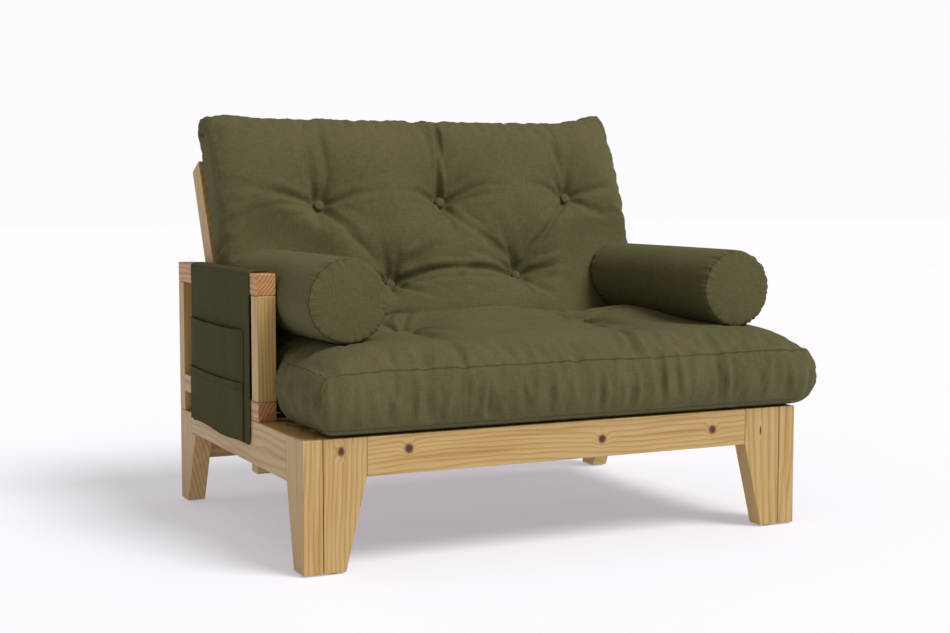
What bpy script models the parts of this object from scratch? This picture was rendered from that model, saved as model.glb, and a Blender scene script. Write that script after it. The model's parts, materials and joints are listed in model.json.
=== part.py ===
"""Two-seat pine sofa bed: a fixed base with one arm, a pull-out seat section and a reclining backrest.

Metres, +Z up, +X to the sitter's left as seen from the front, +Y towards the back. The parts are laid out
from the front face of the frame (y = 0) and its middle (x = 0), and one empty then moves everything so that
the origin is the middle of the object's footprint, on the floor.
"""

from math import acos, atan2, cos, hypot, pi, radians, sin, tan

import bmesh
import bpy
from mathutils import Vector

# Driving dimensions of the frame.
WIDTH = 1.270
DEPTH = 0.967
PLANK = 0.045
EDGE = 0.002
GAP = 0.0003
GLIDE_HEIGHT = 0.003
GLIDE_RADIUS = 0.014
RAIL_TOP = 0.292
SIDE_RAIL_BOTTOM = 0.190
FRONT_RAIL_BOTTOM = 0.206

# Legs: widths at the rail and at the floor.
FRONT_LEG_TOP = 0.105
REAR_LEG_TOP = 0.142
LEG_FOOT = 0.063
REAR_SHOULDER = 0.104
REAR_POST_FOOT = 0.241
PULL_LEG_TOP = 0.099
PULL_LEG_FOOT = 0.050
LEG_SLIT = 0.0016

# Arm: two posts and two rails round the organiser.
ARM_FRONT = 0.300
ARM_TOP = 0.629
ARM_TOP_RAIL = 0.050
ARM_LOW_RAIL = 0.045
BOLT_RADIUS = 0.004
BOLT_HEAD_RADIUS = 0.0065
BOLT_HEAD_HEIGHT = 0.005
BOLT_BITE = 0.035
BOLT_FROM_POST = 0.060

# Organiser: cloth over the arm with two pockets on its outer side.
CLOTH = 0.0025
SLING_FRONT = 0.352
SLING_REAR = 0.812
SLING_BOTTOM = 0.229
SLING_INNER_BOTTOM = 0.420
UPPER_POCKET_TOP = 0.495
UPPER_POCKET_BOTTOM = 0.243
UPPER_POCKET_SPACE = 0.0115
LOWER_POCKET_TOP = 0.372
LOWER_POCKET_BOTTOM = 0.234
LOWER_POCKET_SPACE = 0.0090

# Pull-out section.
SLAT = 0.020
SLAT_WIDTH = 0.068
SLAT_TOP = 0.2905
SEAT_SLATS = 6
RUNNER_WIDTH = 0.030
RUNNER_TOP = 0.215
RUNNER_HEIGHT = 0.025
CENTRE_BEARER = 0.042
SIDE_CLEARANCE = 0.002
SEAT_TIE_REAR = 0.630

# Backrest.
LEAN = radians(25)
PIVOT_Y = 0.675
STILE_DEPTH = 0.065
STILE_WIDTH = 0.0355
STILE_LENGTH = 0.685
STILE_INSET = 0.004
BACK_RAIL_DEPTH = 0.034
BACK_RAIL_HEIGHT = 0.070
BACK_RAIL_START = 0.040
BACK_RAIL_INSET = 0.004
BACK_SLAT_MARGIN = 0.060
BACK_SLATS = 6
HINGE_PLATE = 0.003
HINGE_EYE = 0.018
HINGE_ARM = 0.013
HINGE_REACH = 0.120
HINGE_DROP = 0.014
PIN_RADIUS = 0.005
PIN_HEAD_RADIUS = 0.009
PIN_HEAD = 0.003
PIN_BITE = 0.026

# Soft parts.
MATTRESS_REST = 0.002
SEAT_FRONT = -0.025
SEAT_LEFT = -0.585
SEAT_RIGHT = 0.690
SEAT_THICKNESS = 0.182
BACK_LEFT = -0.585
BACK_RIGHT = 0.600
BACK_THICKNESS = 0.120
BACK_LENGTH = 0.750
MITRE_GAP = 0.001
BOLSTER_RADIUS = 0.093
BOLSTER_FRONT = 0.105
BOLSTER_X = {"left": -0.490, "right": 0.545}
BOLSTER_GAP = 0.0015

# Derived places.
INNER = WIDTH / 2 - PLANK
PIVOT_Z = SLAT_TOP - STILE_DEPTH / 2
SEAT_BOTTOM = SLAT_TOP + MATTRESS_REST
SLOPE = Vector((0, sin(LEAN), cos(LEAN)))
NORMAL = Vector((0, cos(LEAN), -sin(LEAN)))
PIVOT = Vector((0, PIVOT_Y, PIVOT_Z))
BEARER_OUT = INNER - SIDE_CLEARANCE
STILE_OUT = INNER - STILE_INSET
STILE_IN = STILE_OUT - STILE_WIDTH
BEARER_IN = STILE_IN - HINGE_PLATE - GAP
CREASE_LIFT = (MATTRESS_REST + STILE_DEPTH / 2) * (1 - sin(LEAN)) / cos(LEAN)
CREASE = PIVOT + SLOPE * CREASE_LIFT - NORMAL * (STILE_DEPTH / 2 + MATTRESS_REST)
MITRE = (pi / 2 + LEAN) / 2
SLING_OUT = WIDTH / 2 + GAP
X_LOW = -(SLING_OUT + 3 * CLOTH + 2 * GAP + UPPER_POCKET_SPACE + LOWER_POCKET_SPACE)
Y_HIGH = (PIVOT + SLOPE * STILE_LENGTH + NORMAL * (STILE_DEPTH / 2)).y
FOOTPRINT_MIDDLE = Vector(((X_LOW + SEAT_RIGHT) / 2, (SEAT_FRONT + Y_HIGH) / 2, 0))
SIDES = {"left": -1, "right": 1}


def clear_scene():
    """Remove everything the startup file holds."""
    for obj in list(bpy.data.objects):
        bpy.data.objects.remove(obj, do_unlink=True)


def make_collection(name, hidden=False):
    """A collection linked to the scene."""
    collection = bpy.data.collections.new(name)
    collection.hide_render = hidden
    bpy.context.scene.collection.children.link(collection)
    return collection


def make_material(name, colour, roughness, metallic=0.0):
    """A Principled BSDF of one colour (linear)."""
    material = bpy.data.materials.new(name)
    material.use_nodes = True
    shader = material.node_tree.nodes["Principled BSDF"]
    shader.inputs["Base Color"].default_value = (*colour, 1.0)
    shader.inputs["Roughness"].default_value = roughness
    shader.inputs["Metallic"].default_value = metallic
    return material


clear_scene()
SOFA = make_collection("sofa_bed")
CUTTERS = make_collection("cutters", hidden=True)
PINE = make_material("pine", (0.55, 0.38, 0.18), 0.55)
END_PINE = make_material("heart_pine", (0.42, 0.20, 0.08), 0.60)
STEEL = make_material("zinc_steel", (0.55, 0.55, 0.56), 0.35, 1.0)
NYLON = make_material("glide_nylon", (0.05, 0.045, 0.04), 0.60)
OLIVE = make_material("olive_cloth", (0.075, 0.075, 0.028), 0.90)


def make_empty(name, location, parent=None, rotation=(0, 0, 0)):
    """An empty that carries one body of the object."""
    empty = bpy.data.objects.new(name, None)
    empty.location = location
    empty.rotation_euler = rotation
    empty.parent = parent
    SOFA.objects.link(empty)
    return empty


def add_object(name, data, body, material):
    """An object of this data, riding on a body's empty."""
    obj = bpy.data.objects.new(name, data)
    obj.data.materials.append(material)
    obj.parent = body
    SOFA.objects.link(obj)
    return obj


def add_bevel(obj, width=EDGE, segments=2):
    """Eased edges."""
    bevel = obj.modifiers.new("eased_edges", "BEVEL")
    bevel.width = width
    bevel.segments = segments
    bevel.limit_method = "ANGLE"
    bevel.harden_normals = False
    return bevel


def box(name, body, material, x, y, z, bevel=EDGE):
    """A block between two values on each axis, in the body's own axes."""
    low = Vector((min(x), min(y), min(z)))
    high = Vector((max(x), max(y), max(z)))
    mesh = bpy.data.meshes.new(name)
    block = bmesh.new()
    bmesh.ops.create_cube(block, size=1.0)
    bmesh.ops.scale(block, vec=high - low, verts=block.verts)
    block.to_mesh(mesh)
    block.free()
    obj = add_object(name, mesh, body, material)
    obj.location = (low + high) / 2
    if bevel:
        add_bevel(obj, bevel)
    return obj


def outline(name, body, material, loops, span, across="X", bevel=EDGE):
    """A flat outline, with any holes, given a thickness.

    The loops are (y, z) points with the thickness along X, or (x, z) points with it along Y.
    """
    curve = bpy.data.curves.new(name, "CURVE")
    curve.dimensions = "2D"
    curve.fill_mode = "BOTH"
    curve.extrude = abs(span[1] - span[0]) / 2
    for points in loops:
        spline = curve.splines.new("POLY")
        spline.points.add(len(points) - 1)
        for point, (first, second) in zip(spline.points, points):
            point.co = (first, second, 0, 1)
        spline.use_cyclic_u = True
    obj = add_object(name, curve, body, material)
    middle = (span[0] + span[1]) / 2
    if across == "X":
        obj.rotation_euler = (pi / 2, 0, pi / 2)
        obj.location = (middle, 0, 0)
    else:
        obj.rotation_euler = (pi / 2, 0, 0)
        obj.location = (0, middle, 0)
    weld = obj.modifiers.new("weld_caps", "WELD")
    weld.merge_threshold = 0.00001
    if bevel:
        add_bevel(obj, bevel)
    return obj


def turned(name, body, material, profile, location, axis="Z", steps=24):
    """A turned piece. The profile's (radius, height) points run from its top to its bottom."""
    mesh = bpy.data.meshes.new(name)
    line = bmesh.new()
    points = [line.verts.new((radius, 0, height)) for radius, height in profile]
    for start, end in zip(points, points[1:]):
        line.edges.new((start, end))
    line.to_mesh(mesh)
    line.free()
    obj = add_object(name, mesh, body, material)
    obj.location = location
    if axis == "X":
        obj.rotation_euler = (0, pi / 2, 0)
    if axis == "-X":
        obj.rotation_euler = (0, -pi / 2, 0)
    screw = obj.modifiers.new("turn", "SCREW")
    screw.steps = steps
    screw.render_steps = steps
    screw.use_merge_vertices = True
    screw.merge_threshold = 0.00001
    return obj


def bore(target, radius, location, depth, steps=24):
    """A vertical hole drilled into a piece, centred on location."""
    mesh = bpy.data.meshes.new(f"{target.name}_bore")
    drill = bmesh.new()
    bmesh.ops.create_cone(drill, cap_ends=True, segments=steps, radius1=radius, radius2=radius, depth=depth)
    drill.to_mesh(mesh)
    drill.free()
    cutter = bpy.data.objects.new(mesh.name, mesh)
    cutter.location = location
    cutter.parent = target.parent
    cutter.hide_render = True
    cutter.display_type = "WIRE"
    CUTTERS.objects.link(cutter)
    cut = target.modifiers.new("bore", "BOOLEAN")
    cut.object = cutter
    cut.operation = "DIFFERENCE"


def circle(centre, radius, steps=24):
    """Points of a circle in an outline's plane."""
    angles = [2 * pi * step / steps for step in range(steps)]
    return [(centre[0] + radius * cos(a), centre[1] + radius * sin(a)) for a in angles]


def tapered_strap(start, end, start_radius, end_radius, steps=10):
    """Outline of a strap whose two ends are round, joined by tangent lines."""
    heading = atan2(end[1] - start[1], end[0] - start[0])
    spread = acos((start_radius - end_radius) / hypot(end[0] - start[0], end[1] - start[1]))
    points = []
    for centre, radius, first, sweep in (
        (start, start_radius, heading + spread, 2 * (pi - spread)),
        (end, end_radius, heading - spread, 2 * spread),
    ):
        for step in range(steps + 1):
            angle = first + sweep * step / steps
            points.append((centre[0] + radius * cos(angle), centre[1] + radius * sin(angle)))
    return points


def mirrored(points, sign):
    """An outline on the left (-1) or right (+1), from its distances to the middle."""
    return [(sign * x, z) for x, z in points]


def build_base(body):
    """Side frames, rear rail, runners and glides."""
    foot = GLIDE_HEIGHT + GAP
    shoulder = SIDE_RAIL_BOTTOM - GAP
    rear_edge = DEPTH - REAR_SHOULDER
    front_leg = [(0, foot), (LEG_FOOT, foot), (FRONT_LEG_TOP, SIDE_RAIL_BOTTOM), (FRONT_LEG_TOP, RAIL_TOP), (0, RAIL_TOP)]
    for side, sign in SIDES.items():
        outer = sorted((sign * INNER, sign * WIDTH / 2))
        outline(f"leg_front_{side}", body, PINE, [front_leg], outer)
        rear_top = REAR_POST_FOOT if side == "left" else RAIL_TOP
        rear_leg = [
            (DEPTH, foot),
            (DEPTH, rear_top),
            (rear_edge, rear_top),
            (rear_edge, shoulder),
            (DEPTH - REAR_LEG_TOP, shoulder),
            (DEPTH - LEG_FOOT, foot),
        ]
        outline(f"leg_rear_{side}", body, PINE, [rear_leg], outer)
        rail_run = (FRONT_LEG_TOP + GAP, rear_edge - GAP)
        rail = box(f"side_rail_{side}", body, PINE, outer, rail_run, (SIDE_RAIL_BOTTOM, RAIL_TOP))
        if side == "left":
            drill_for_arm(rail)
        runner = sorted((sign * (INNER - GAP), sign * (INNER - RUNNER_WIDTH)))
        runner_run = (FRONT_LEG_TOP + PLANK, rear_edge)
        box(f"runner_{side}", body, PINE, runner, runner_run, (RUNNER_TOP - RUNNER_HEIGHT, RUNNER_TOP))
        for end, y in (("front", LEG_FOOT / 2), ("rear", DEPTH - LEG_FOOT / 2)):
            add_glide(f"glide_{end}_{side}", body, sign * (INNER + PLANK / 2), y)
    across = (-INNER + GAP, INNER - GAP)
    box("rear_rail", body, PINE, across, (DEPTH - PLANK - 0.010, DEPTH - 0.010), (0.112, RUNNER_TOP - 0.001))
    under_runner = RUNNER_TOP - RUNNER_HEIGHT - GAP
    box("cross_rail", body, PINE, across, (0.450, 0.450 + PLANK), (under_runner - PLANK, under_runner))


def add_glide(name, body, x, y):
    """A round nylon glide under a leg."""
    profile = [(0, GLIDE_HEIGHT), (GLIDE_RADIUS, GLIDE_HEIGHT), (GLIDE_RADIUS, 0), (0, 0)]
    turned(name, body, NYLON, profile, (x, y, 0))


def arm_bolt_places():
    """(x, y) of the two bolts that hold the arm on the side rail."""
    x = -(INNER + PLANK / 2)
    return [(x, ARM_FRONT + BOLT_FROM_POST + PLANK), (x, DEPTH - REAR_SHOULDER - BOLT_FROM_POST)]


def drill_for_arm(rail):
    """Holes in the left side rail for the arm's bolts."""
    for x, y in arm_bolt_places():
        bore(rail, BOLT_RADIUS + GAP, (x, y, RAIL_TOP), 2 * (BOLT_BITE + 2 * GAP))


def build_arm(body):
    """The left arm: posts, rails and bolts."""
    outer = (-WIDTH / 2, -INNER)
    low_top = RAIL_TOP + GAP + ARM_LOW_RAIL
    post_top = ARM_TOP - ARM_TOP_RAIL - GAP
    front_post = (ARM_FRONT, ARM_FRONT + PLANK)
    rear_post = (DEPTH - PLANK, DEPTH)
    box("arm_post_front", body, PINE, outer, front_post, (low_top + GAP, post_top))
    box("arm_post_rear", body, PINE, outer, rear_post, (REAR_POST_FOOT + GAP, post_top))
    box("arm_rail_top", body, END_PINE, outer, (ARM_FRONT, DEPTH), (ARM_TOP - ARM_TOP_RAIL, ARM_TOP))
    low_run = (ARM_FRONT, DEPTH - PLANK - GAP)
    low_rail = box("arm_rail_low", body, END_PINE, outer, low_run, (RAIL_TOP + GAP, low_top))
    profile = [
        (0, BOLT_HEAD_HEIGHT),
        (BOLT_HEAD_RADIUS, BOLT_HEAD_HEIGHT),
        (BOLT_HEAD_RADIUS, 0),
        (BOLT_RADIUS, 0),
        (BOLT_RADIUS, -ARM_LOW_RAIL - BOLT_BITE),
        (0, -ARM_LOW_RAIL - BOLT_BITE),
    ]
    for end, (x, y) in zip(("front", "rear"), arm_bolt_places()):
        bore(low_rail, BOLT_RADIUS + GAP, (x, y, low_top - ARM_LOW_RAIL / 2), 2 * ARM_LOW_RAIL)
        turned(f"arm_bolt_{end}", body, STEEL, profile, (x, y, low_top + GAP))


def build_organiser(body):
    """The cloth sling over the arm and its two pockets, each pocket open at its top."""
    out = SLING_OUT
    rail_in = INNER - GAP
    top = ARM_TOP + GAP
    sling = [
        (-out, SLING_BOTTOM),
        (-out, top),
        (-rail_in, top),
        (-rail_in, SLING_INNER_BOTTOM),
        (-rail_in + CLOTH, SLING_INNER_BOTTOM),
        (-rail_in + CLOTH, top + CLOTH),
        (-out - CLOTH, top + CLOTH),
        (-out - CLOTH, SLING_BOTTOM),
    ]
    outline("organiser_sling", body, OLIVE, [sling], (SLING_FRONT, SLING_REAR), across="Y", bevel=0)
    upper_face = out + CLOTH + GAP
    add_pocket("pocket_upper", body, upper_face, UPPER_POCKET_SPACE, UPPER_POCKET_BOTTOM, UPPER_POCKET_TOP)
    lower_face = upper_face + UPPER_POCKET_SPACE + CLOTH + GAP
    add_pocket("pocket_lower", body, lower_face, LOWER_POCKET_SPACE, LOWER_POCKET_BOTTOM, LOWER_POCKET_TOP)


def add_pocket(name, body, face, space, bottom, top):
    """A patch pocket: an outer wall, a bottom and two gussets, open at its top and towards the arm."""
    outer = -(face + space + CLOTH)
    pocket = box(name, body, OLIVE, (outer, -face), (SLING_FRONT, SLING_REAR), (bottom, top), bevel=0)
    mesh = bpy.data.meshes.new(f"{name}_hollow")
    hollow = bmesh.new()
    bmesh.ops.create_cube(hollow, size=1.0)
    size = Vector((2 * space, SLING_REAR - SLING_FRONT - 2 * CLOTH, 2 * (top - bottom - CLOTH)))
    bmesh.ops.scale(hollow, vec=size, verts=hollow.verts)
    hollow.to_mesh(mesh)
    hollow.free()
    cutter = bpy.data.objects.new(mesh.name, mesh)
    cutter.location = (-face, (SLING_FRONT + SLING_REAR) / 2, top)
    cutter.parent = body
    cutter.hide_render = True
    cutter.display_type = "WIRE"
    CUTTERS.objects.link(cutter)
    cut = pocket.modifiers.new("hollow", "BOOLEAN")
    cut.object = cutter
    cut.operation = "DIFFERENCE"


def build_seat(body):
    """The pull-out section: front rail and legs, bearers, tie, slats and hinge plates."""
    leg_out = INNER - LEG_SLIT
    foot = GLIDE_HEIGHT + GAP
    leg = [
        (leg_out, foot),
        (leg_out, RAIL_TOP),
        (leg_out - PULL_LEG_TOP, RAIL_TOP),
        (leg_out - PULL_LEG_TOP, FRONT_RAIL_BOTTOM),
        (leg_out - PULL_LEG_FOOT, foot),
    ]
    rail_end = leg_out - PULL_LEG_TOP - GAP
    box("front_rail", body, PINE, (-rail_end, rail_end), (0, PLANK), (FRONT_RAIL_BOTTOM, RAIL_TOP))
    bearer_base = RUNNER_TOP + 2 * GAP
    bearer_top = SLAT_TOP - SLAT - GAP
    bearer_run = (PLANK + GAP, PIVOT_Y - STILE_DEPTH / 2 - 0.006)
    for side, sign in SIDES.items():
        outline(f"leg_pull_{side}", body, PINE, [mirrored(leg, sign)], (0, PLANK), across="Y")
        add_glide(f"glide_pull_{side}", body, sign * (leg_out - PULL_LEG_FOOT / 2), PLANK / 2)
        bearer = (sign * BEARER_IN, sign * BEARER_OUT)
        box(f"bearer_{side}", body, PINE, bearer, bearer_run, (bearer_base, bearer_top))
    centre = (-CENTRE_BEARER / 2, CENTRE_BEARER / 2)
    tie_front = SEAT_TIE_REAR - PLANK
    box("bearer_centre", body, PINE, centre, (PLANK + GAP, tie_front - GAP), (bearer_base, bearer_top))
    tie = BEARER_IN - HINGE_PLATE - 2 * GAP
    box("rear_tie", body, PINE, (-tie, tie), (tie_front, SEAT_TIE_REAR), (bearer_base, bearer_top))
    first = PLANK + 0.022
    pitch = (SEAT_TIE_REAR - SLAT_WIDTH - first) / (SEAT_SLATS - 1)
    for index in range(SEAT_SLATS):
        y = first + index * pitch
        span = (-BEARER_OUT, BEARER_OUT)
        box(f"seat_slat_{index + 1}", body, PINE, span, (y, y + SLAT_WIDTH), (SLAT_TOP - SLAT, SLAT_TOP), 0.003)


def build_backrest(body):
    """The leaning frame, in its own axes: +Y behind it, +Z up its slope, the pivot at the origin."""
    half = STILE_DEPTH / 2
    end = [(-half, 0), (-half, STILE_LENGTH), (half, STILE_LENGTH), (half, 0)]
    rounded = [(half * cos(-pi * step / 12), half * sin(-pi * step / 12)) for step in range(1, 12)]
    pin_hole = circle((0, 0), PIN_RADIUS + GAP)
    for side, sign in SIDES.items():
        span = sorted((sign * STILE_IN, sign * STILE_OUT))
        outline(f"stile_{side}", body, PINE, [end + rounded, pin_hole], span, bevel=0.0015)
    inner = STILE_IN - GAP
    past_plates = inner - 2 * HINGE_PLATE - 2 * GAP
    face = -half + SLAT + 2 * GAP
    rails = (
        ("back_rail_low", past_plates, BACK_RAIL_START),
        ("back_rail_top", inner, STILE_LENGTH - BACK_RAIL_HEIGHT - BACK_RAIL_INSET),
    )
    for name, reach, low in rails:
        box(name, body, PINE, (-reach, reach), (face, face + BACK_RAIL_DEPTH), (low, low + BACK_RAIL_HEIGHT))
    first = -inner + BACK_SLAT_MARGIN
    pitch = (-2 * first - SLAT_WIDTH) / (BACK_SLATS - 1)
    run = (BACK_RAIL_START, STILE_LENGTH - BACK_RAIL_INSET)
    for index in range(BACK_SLATS):
        x = first + index * pitch
        box(f"back_slat_{index + 1}", body, PINE, (x, x + SLAT_WIDTH), (-half, -half + SLAT), run, 0.003)


def build_hinges(seat, back):
    """On each side a plate on the bearer, a plate on the stile, and the pin through both."""
    lean_up = (-STILE_DEPTH / 2 + HINGE_ARM + 0.004, HINGE_REACH)
    for side, sign in SIDES.items():
        plate_out = STILE_IN - GAP
        plate_mid = plate_out - HINGE_PLATE
        back_loops = [tapered_strap((0, 0), lean_up, HINGE_EYE, HINGE_ARM), circle((0, 0), PIN_RADIUS + GAP)]
        span = sorted((sign * plate_mid, sign * plate_out))
        outline(f"hinge_plate_back_{side}", back, STEEL, back_loops, span, bevel=0)
        eye = (PIVOT_Y, PIVOT_Z)
        reach = (PIVOT_Y - HINGE_REACH, PIVOT_Z - HINGE_DROP)
        seat_loops = [tapered_strap(eye, reach, HINGE_EYE, HINGE_ARM), circle(eye, PIN_RADIUS + GAP)]
        inner_face = plate_mid - GAP - HINGE_PLATE
        span = sorted((sign * inner_face, sign * (plate_mid - GAP)))
        outline(f"hinge_plate_seat_{side}", seat, STEEL, seat_loops, span, bevel=0)
        profile = [
            (0, PIN_HEAD),
            (PIN_HEAD_RADIUS, PIN_HEAD),
            (PIN_HEAD_RADIUS, 0),
            (PIN_RADIUS, 0),
            (PIN_RADIUS, -PIN_BITE),
            (0, -PIN_BITE),
        ]
        head = Vector((sign * (inner_face - GAP), PIVOT_Y, PIVOT_Z))
        turned(f"hinge_pin_{side}", seat, STEEL, profile, head, axis="X" if sign < 0 else "-X")


def build_mattress(seat, back):
    """One tufted mattress in two solids that meet on the bisector of the seat and the back.

    The seat is the thicker one, so above the bisector its rear end leans on the back's front face.
    """
    seat_top = SEAT_BOTTOM + SEAT_THICKNESS
    fold = (CREASE.y - BACK_THICKNESS / tan(MITRE), SEAT_BOTTOM + BACK_THICKNESS)
    behind_fold = (seat_top - fold[1]) * tan(LEAN)
    seat_outline = [
        (SEAT_FRONT, SEAT_BOTTOM),
        (CREASE.y - MITRE_GAP, SEAT_BOTTOM),
        (fold[0] - MITRE_GAP, fold[1]),
        (fold[0] + behind_fold - 2 * MITRE_GAP, seat_top),
        (SEAT_FRONT, seat_top),
    ]
    outline("seat_mattress", seat, OLIVE, [seat_outline], (SEAT_LEFT, SEAT_RIGHT), bevel=0.020)
    rear = -STILE_DEPTH / 2 - MATTRESS_REST
    low = CREASE_LIFT + MITRE_GAP
    back_outline = [
        (rear, low),
        (rear, low + BACK_LENGTH),
        (rear - BACK_THICKNESS, low + BACK_LENGTH),
        (rear - BACK_THICKNESS, low + BACK_THICKNESS / tan(MITRE)),
    ]
    outline("back_mattress", back, OLIVE, [back_outline], (BACK_LEFT, BACK_RIGHT), bevel=0.020)


def build_bolsters(bodies):
    """Two round bolsters on the seat, each cut at its rear end to the slope of the back it leans on."""
    centre_z = SEAT_BOTTOM + SEAT_THICKNESS + BOLSTER_RADIUS + BOLSTER_GAP
    face = CREASE - NORMAL * (BACK_THICKNESS + BOLSTER_GAP)
    for side, x in BOLSTER_X.items():
        mesh = bpy.data.meshes.new(f"bolster_{side}")
        roll = bmesh.new()
        bmesh.ops.create_cone(
            roll, cap_ends=True, segments=32, radius1=BOLSTER_RADIUS, radius2=BOLSTER_RADIUS, depth=1.0
        )
        bmesh.ops.rotate(roll, verts=roll.verts, cent=(0, 0, 0), matrix=rotation_to_y())
        bmesh.ops.translate(roll, verts=roll.verts, vec=(x, BOLSTER_FRONT + 0.5, centre_z))
        rim = roll.verts[:] + roll.edges[:] + roll.faces[:]
        cut = bmesh.ops.bisect_plane(roll, geom=rim, plane_co=face, plane_no=NORMAL, clear_outer=True)
        loose = [item for item in cut["geom_cut"] if isinstance(item, bmesh.types.BMEdge)]
        bmesh.ops.contextual_create(roll, geom=loose)
        bmesh.ops.recalc_face_normals(roll, faces=roll.faces)
        roll.to_mesh(mesh)
        roll.free()
        obj = add_object(f"bolster_{side}", mesh, bodies[side], OLIVE)
        add_bevel(obj, 0.012)


def rotation_to_y():
    """The turn that lays a Z cylinder along Y."""
    return Vector((0, 0, 1)).rotation_difference(Vector((0, 1, 0))).to_matrix()


def main():
    origin = make_empty("footprint_middle", -FOOTPRINT_MIDDLE)
    base = make_empty("base_origin", (0, 0, 0), origin)
    seat = make_empty("seat_section_origin", (0, 0, 0), origin)
    back = make_empty("backrest_hinge_axis", PIVOT, origin, (-LEAN, 0, 0))
    rolls = {side: make_empty(f"bolster_{side}_origin", (0, 0, 0), origin) for side in SIDES}
    build_base(base)
    build_arm(base)
    build_organiser(base)
    build_seat(seat)
    build_backrest(back)
    build_hinges(seat, back)
    build_mattress(seat, back)
    build_bolsters(rolls)


main()
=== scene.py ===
"""Looks of a two-seat pine sofa bed: an arm with a cloth organiser, a tufted mattress and two bolsters."""

import json
import logging
import math
from dataclasses import dataclass, field
from enum import Enum
from typing import Callable, Sequence

import bpy
import numpy as np
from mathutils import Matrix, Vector, noise

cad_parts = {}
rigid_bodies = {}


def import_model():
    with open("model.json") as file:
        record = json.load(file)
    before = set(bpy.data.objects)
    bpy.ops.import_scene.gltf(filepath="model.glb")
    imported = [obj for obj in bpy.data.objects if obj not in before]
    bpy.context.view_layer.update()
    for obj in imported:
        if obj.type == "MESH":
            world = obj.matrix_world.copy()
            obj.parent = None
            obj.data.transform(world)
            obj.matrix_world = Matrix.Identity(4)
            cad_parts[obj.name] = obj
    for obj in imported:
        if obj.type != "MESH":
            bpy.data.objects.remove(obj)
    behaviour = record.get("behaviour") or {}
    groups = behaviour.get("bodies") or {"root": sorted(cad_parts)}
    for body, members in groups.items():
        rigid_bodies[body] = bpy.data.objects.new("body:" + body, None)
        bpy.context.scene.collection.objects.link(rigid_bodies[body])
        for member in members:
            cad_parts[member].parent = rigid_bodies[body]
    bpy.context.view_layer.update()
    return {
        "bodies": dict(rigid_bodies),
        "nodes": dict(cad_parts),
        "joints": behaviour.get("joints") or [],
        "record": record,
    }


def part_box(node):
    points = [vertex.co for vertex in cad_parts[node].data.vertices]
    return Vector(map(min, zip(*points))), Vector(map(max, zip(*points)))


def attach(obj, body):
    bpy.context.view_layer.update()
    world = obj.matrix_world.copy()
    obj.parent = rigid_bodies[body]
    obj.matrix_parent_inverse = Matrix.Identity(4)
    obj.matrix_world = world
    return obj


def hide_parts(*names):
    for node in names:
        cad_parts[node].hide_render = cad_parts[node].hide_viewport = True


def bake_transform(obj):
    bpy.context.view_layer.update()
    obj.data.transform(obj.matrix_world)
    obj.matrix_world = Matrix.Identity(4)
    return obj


LOG = logging.getLogger("sofa_bed")
Point = tuple[float, float, float]
Shape = Callable[[np.ndarray, np.ndarray], tuple[np.ndarray, np.ndarray]]
LEAN = math.radians(25)


class Grain(Enum):
    """The axis that a plank's fibres run along."""

    ACROSS = "X"
    BACK = "Y"
    UP = "Z"


def linear(colour: str) -> tuple[float, float, float, float]:
    """Turn an sRGB hex colour to linear.

    Args:
        colour: Six hex digits after a hash.

    Returns:
        The linear red, green, blue and an alpha of one.
    """
    values = [int(colour[i : i + 2], 16) / 255 for i in (1, 3, 5)]
    made = [v / 12.92 if v <= 0.04045 else ((v + 0.055) / 1.055) ** 2.4 for v in values]
    return (made[0], made[1], made[2], 1.0)


def add_node(
    tree: bpy.types.NodeTree, kind: str, settings: dict | None = None, **links: object
) -> bpy.types.Node:
    """Add one node with its settings and links.

    Args:
        tree: The node tree.
        kind: The node's type name, without its ShaderNode start.
        settings: Values of the node's own properties.
        **links: Input name, with _ for a space, or iN for input N, to a socket or a plain value.

    Returns:
        The new node.
    """
    node = tree.nodes.new("ShaderNode" + kind)
    for name, value in (settings or {}).items():
        setattr(node, name, value)
    for name, value in links.items():
        numbered = name[0] == "i" and name[1:].isdigit()
        slot = node.inputs[int(name[1:]) if numbered else name.replace("_", " ")]
        if isinstance(value, bpy.types.NodeSocket):
            tree.links.new(value, slot)
        else:
            slot.default_value = value
    return node


def maths(
    tree: bpy.types.NodeTree, operation: str, *values: object, clamp: bool = False
) -> bpy.types.NodeSocket:
    """Join sockets or numbers by one operation of a Math node, and return its result."""
    settings = {"operation": operation, "use_clamp": clamp}
    return add_node(tree, "Math", settings, **{f"i{n}": value for n, value in enumerate(values)}).outputs[0]


def vector_maths(
    tree: bpy.types.NodeTree, operation: str, *values: object, out: str = "Vector"
) -> bpy.types.NodeSocket:
    """Join sockets or vectors by one operation of a Vector Math node, and return its result."""
    links = {f"i{n}": value for n, value in enumerate(values)}
    return add_node(tree, "VectorMath", {"operation": operation}, **links).outputs[out]


def spread(
    tree: bpy.types.NodeTree,
    value: bpy.types.NodeSocket,
    source: tuple[float, float],
    target: tuple[float, float],
    curve: str = "LINEAR",
) -> bpy.types.NodeSocket:
    """Map a value from one range to another.

    Args:
        tree: The node tree.
        value: The value to map.
        source: The range that it comes from.
        target: What the ends of that range become.
        curve: The Map Range node's interpolation.

    Returns:
        The mapped value.
    """
    low, high = source
    start, stop = target
    settings = {"interpolation_type": curve}
    return add_node(tree, "MapRange", settings, Value=value, i1=low, i2=high, i3=start, i4=stop).outputs[0]


def new_material(name: str) -> tuple[bpy.types.Material, bpy.types.NodeTree, bpy.types.Node]:
    """Make a node material.

    Args:
        name: The material's name.

    Returns:
        The material, its tree and its Principled shader.
    """
    material = bpy.data.materials.new(name)
    material.use_nodes = True
    return material, material.node_tree, material.node_tree.nodes["Principled BSDF"]


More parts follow.
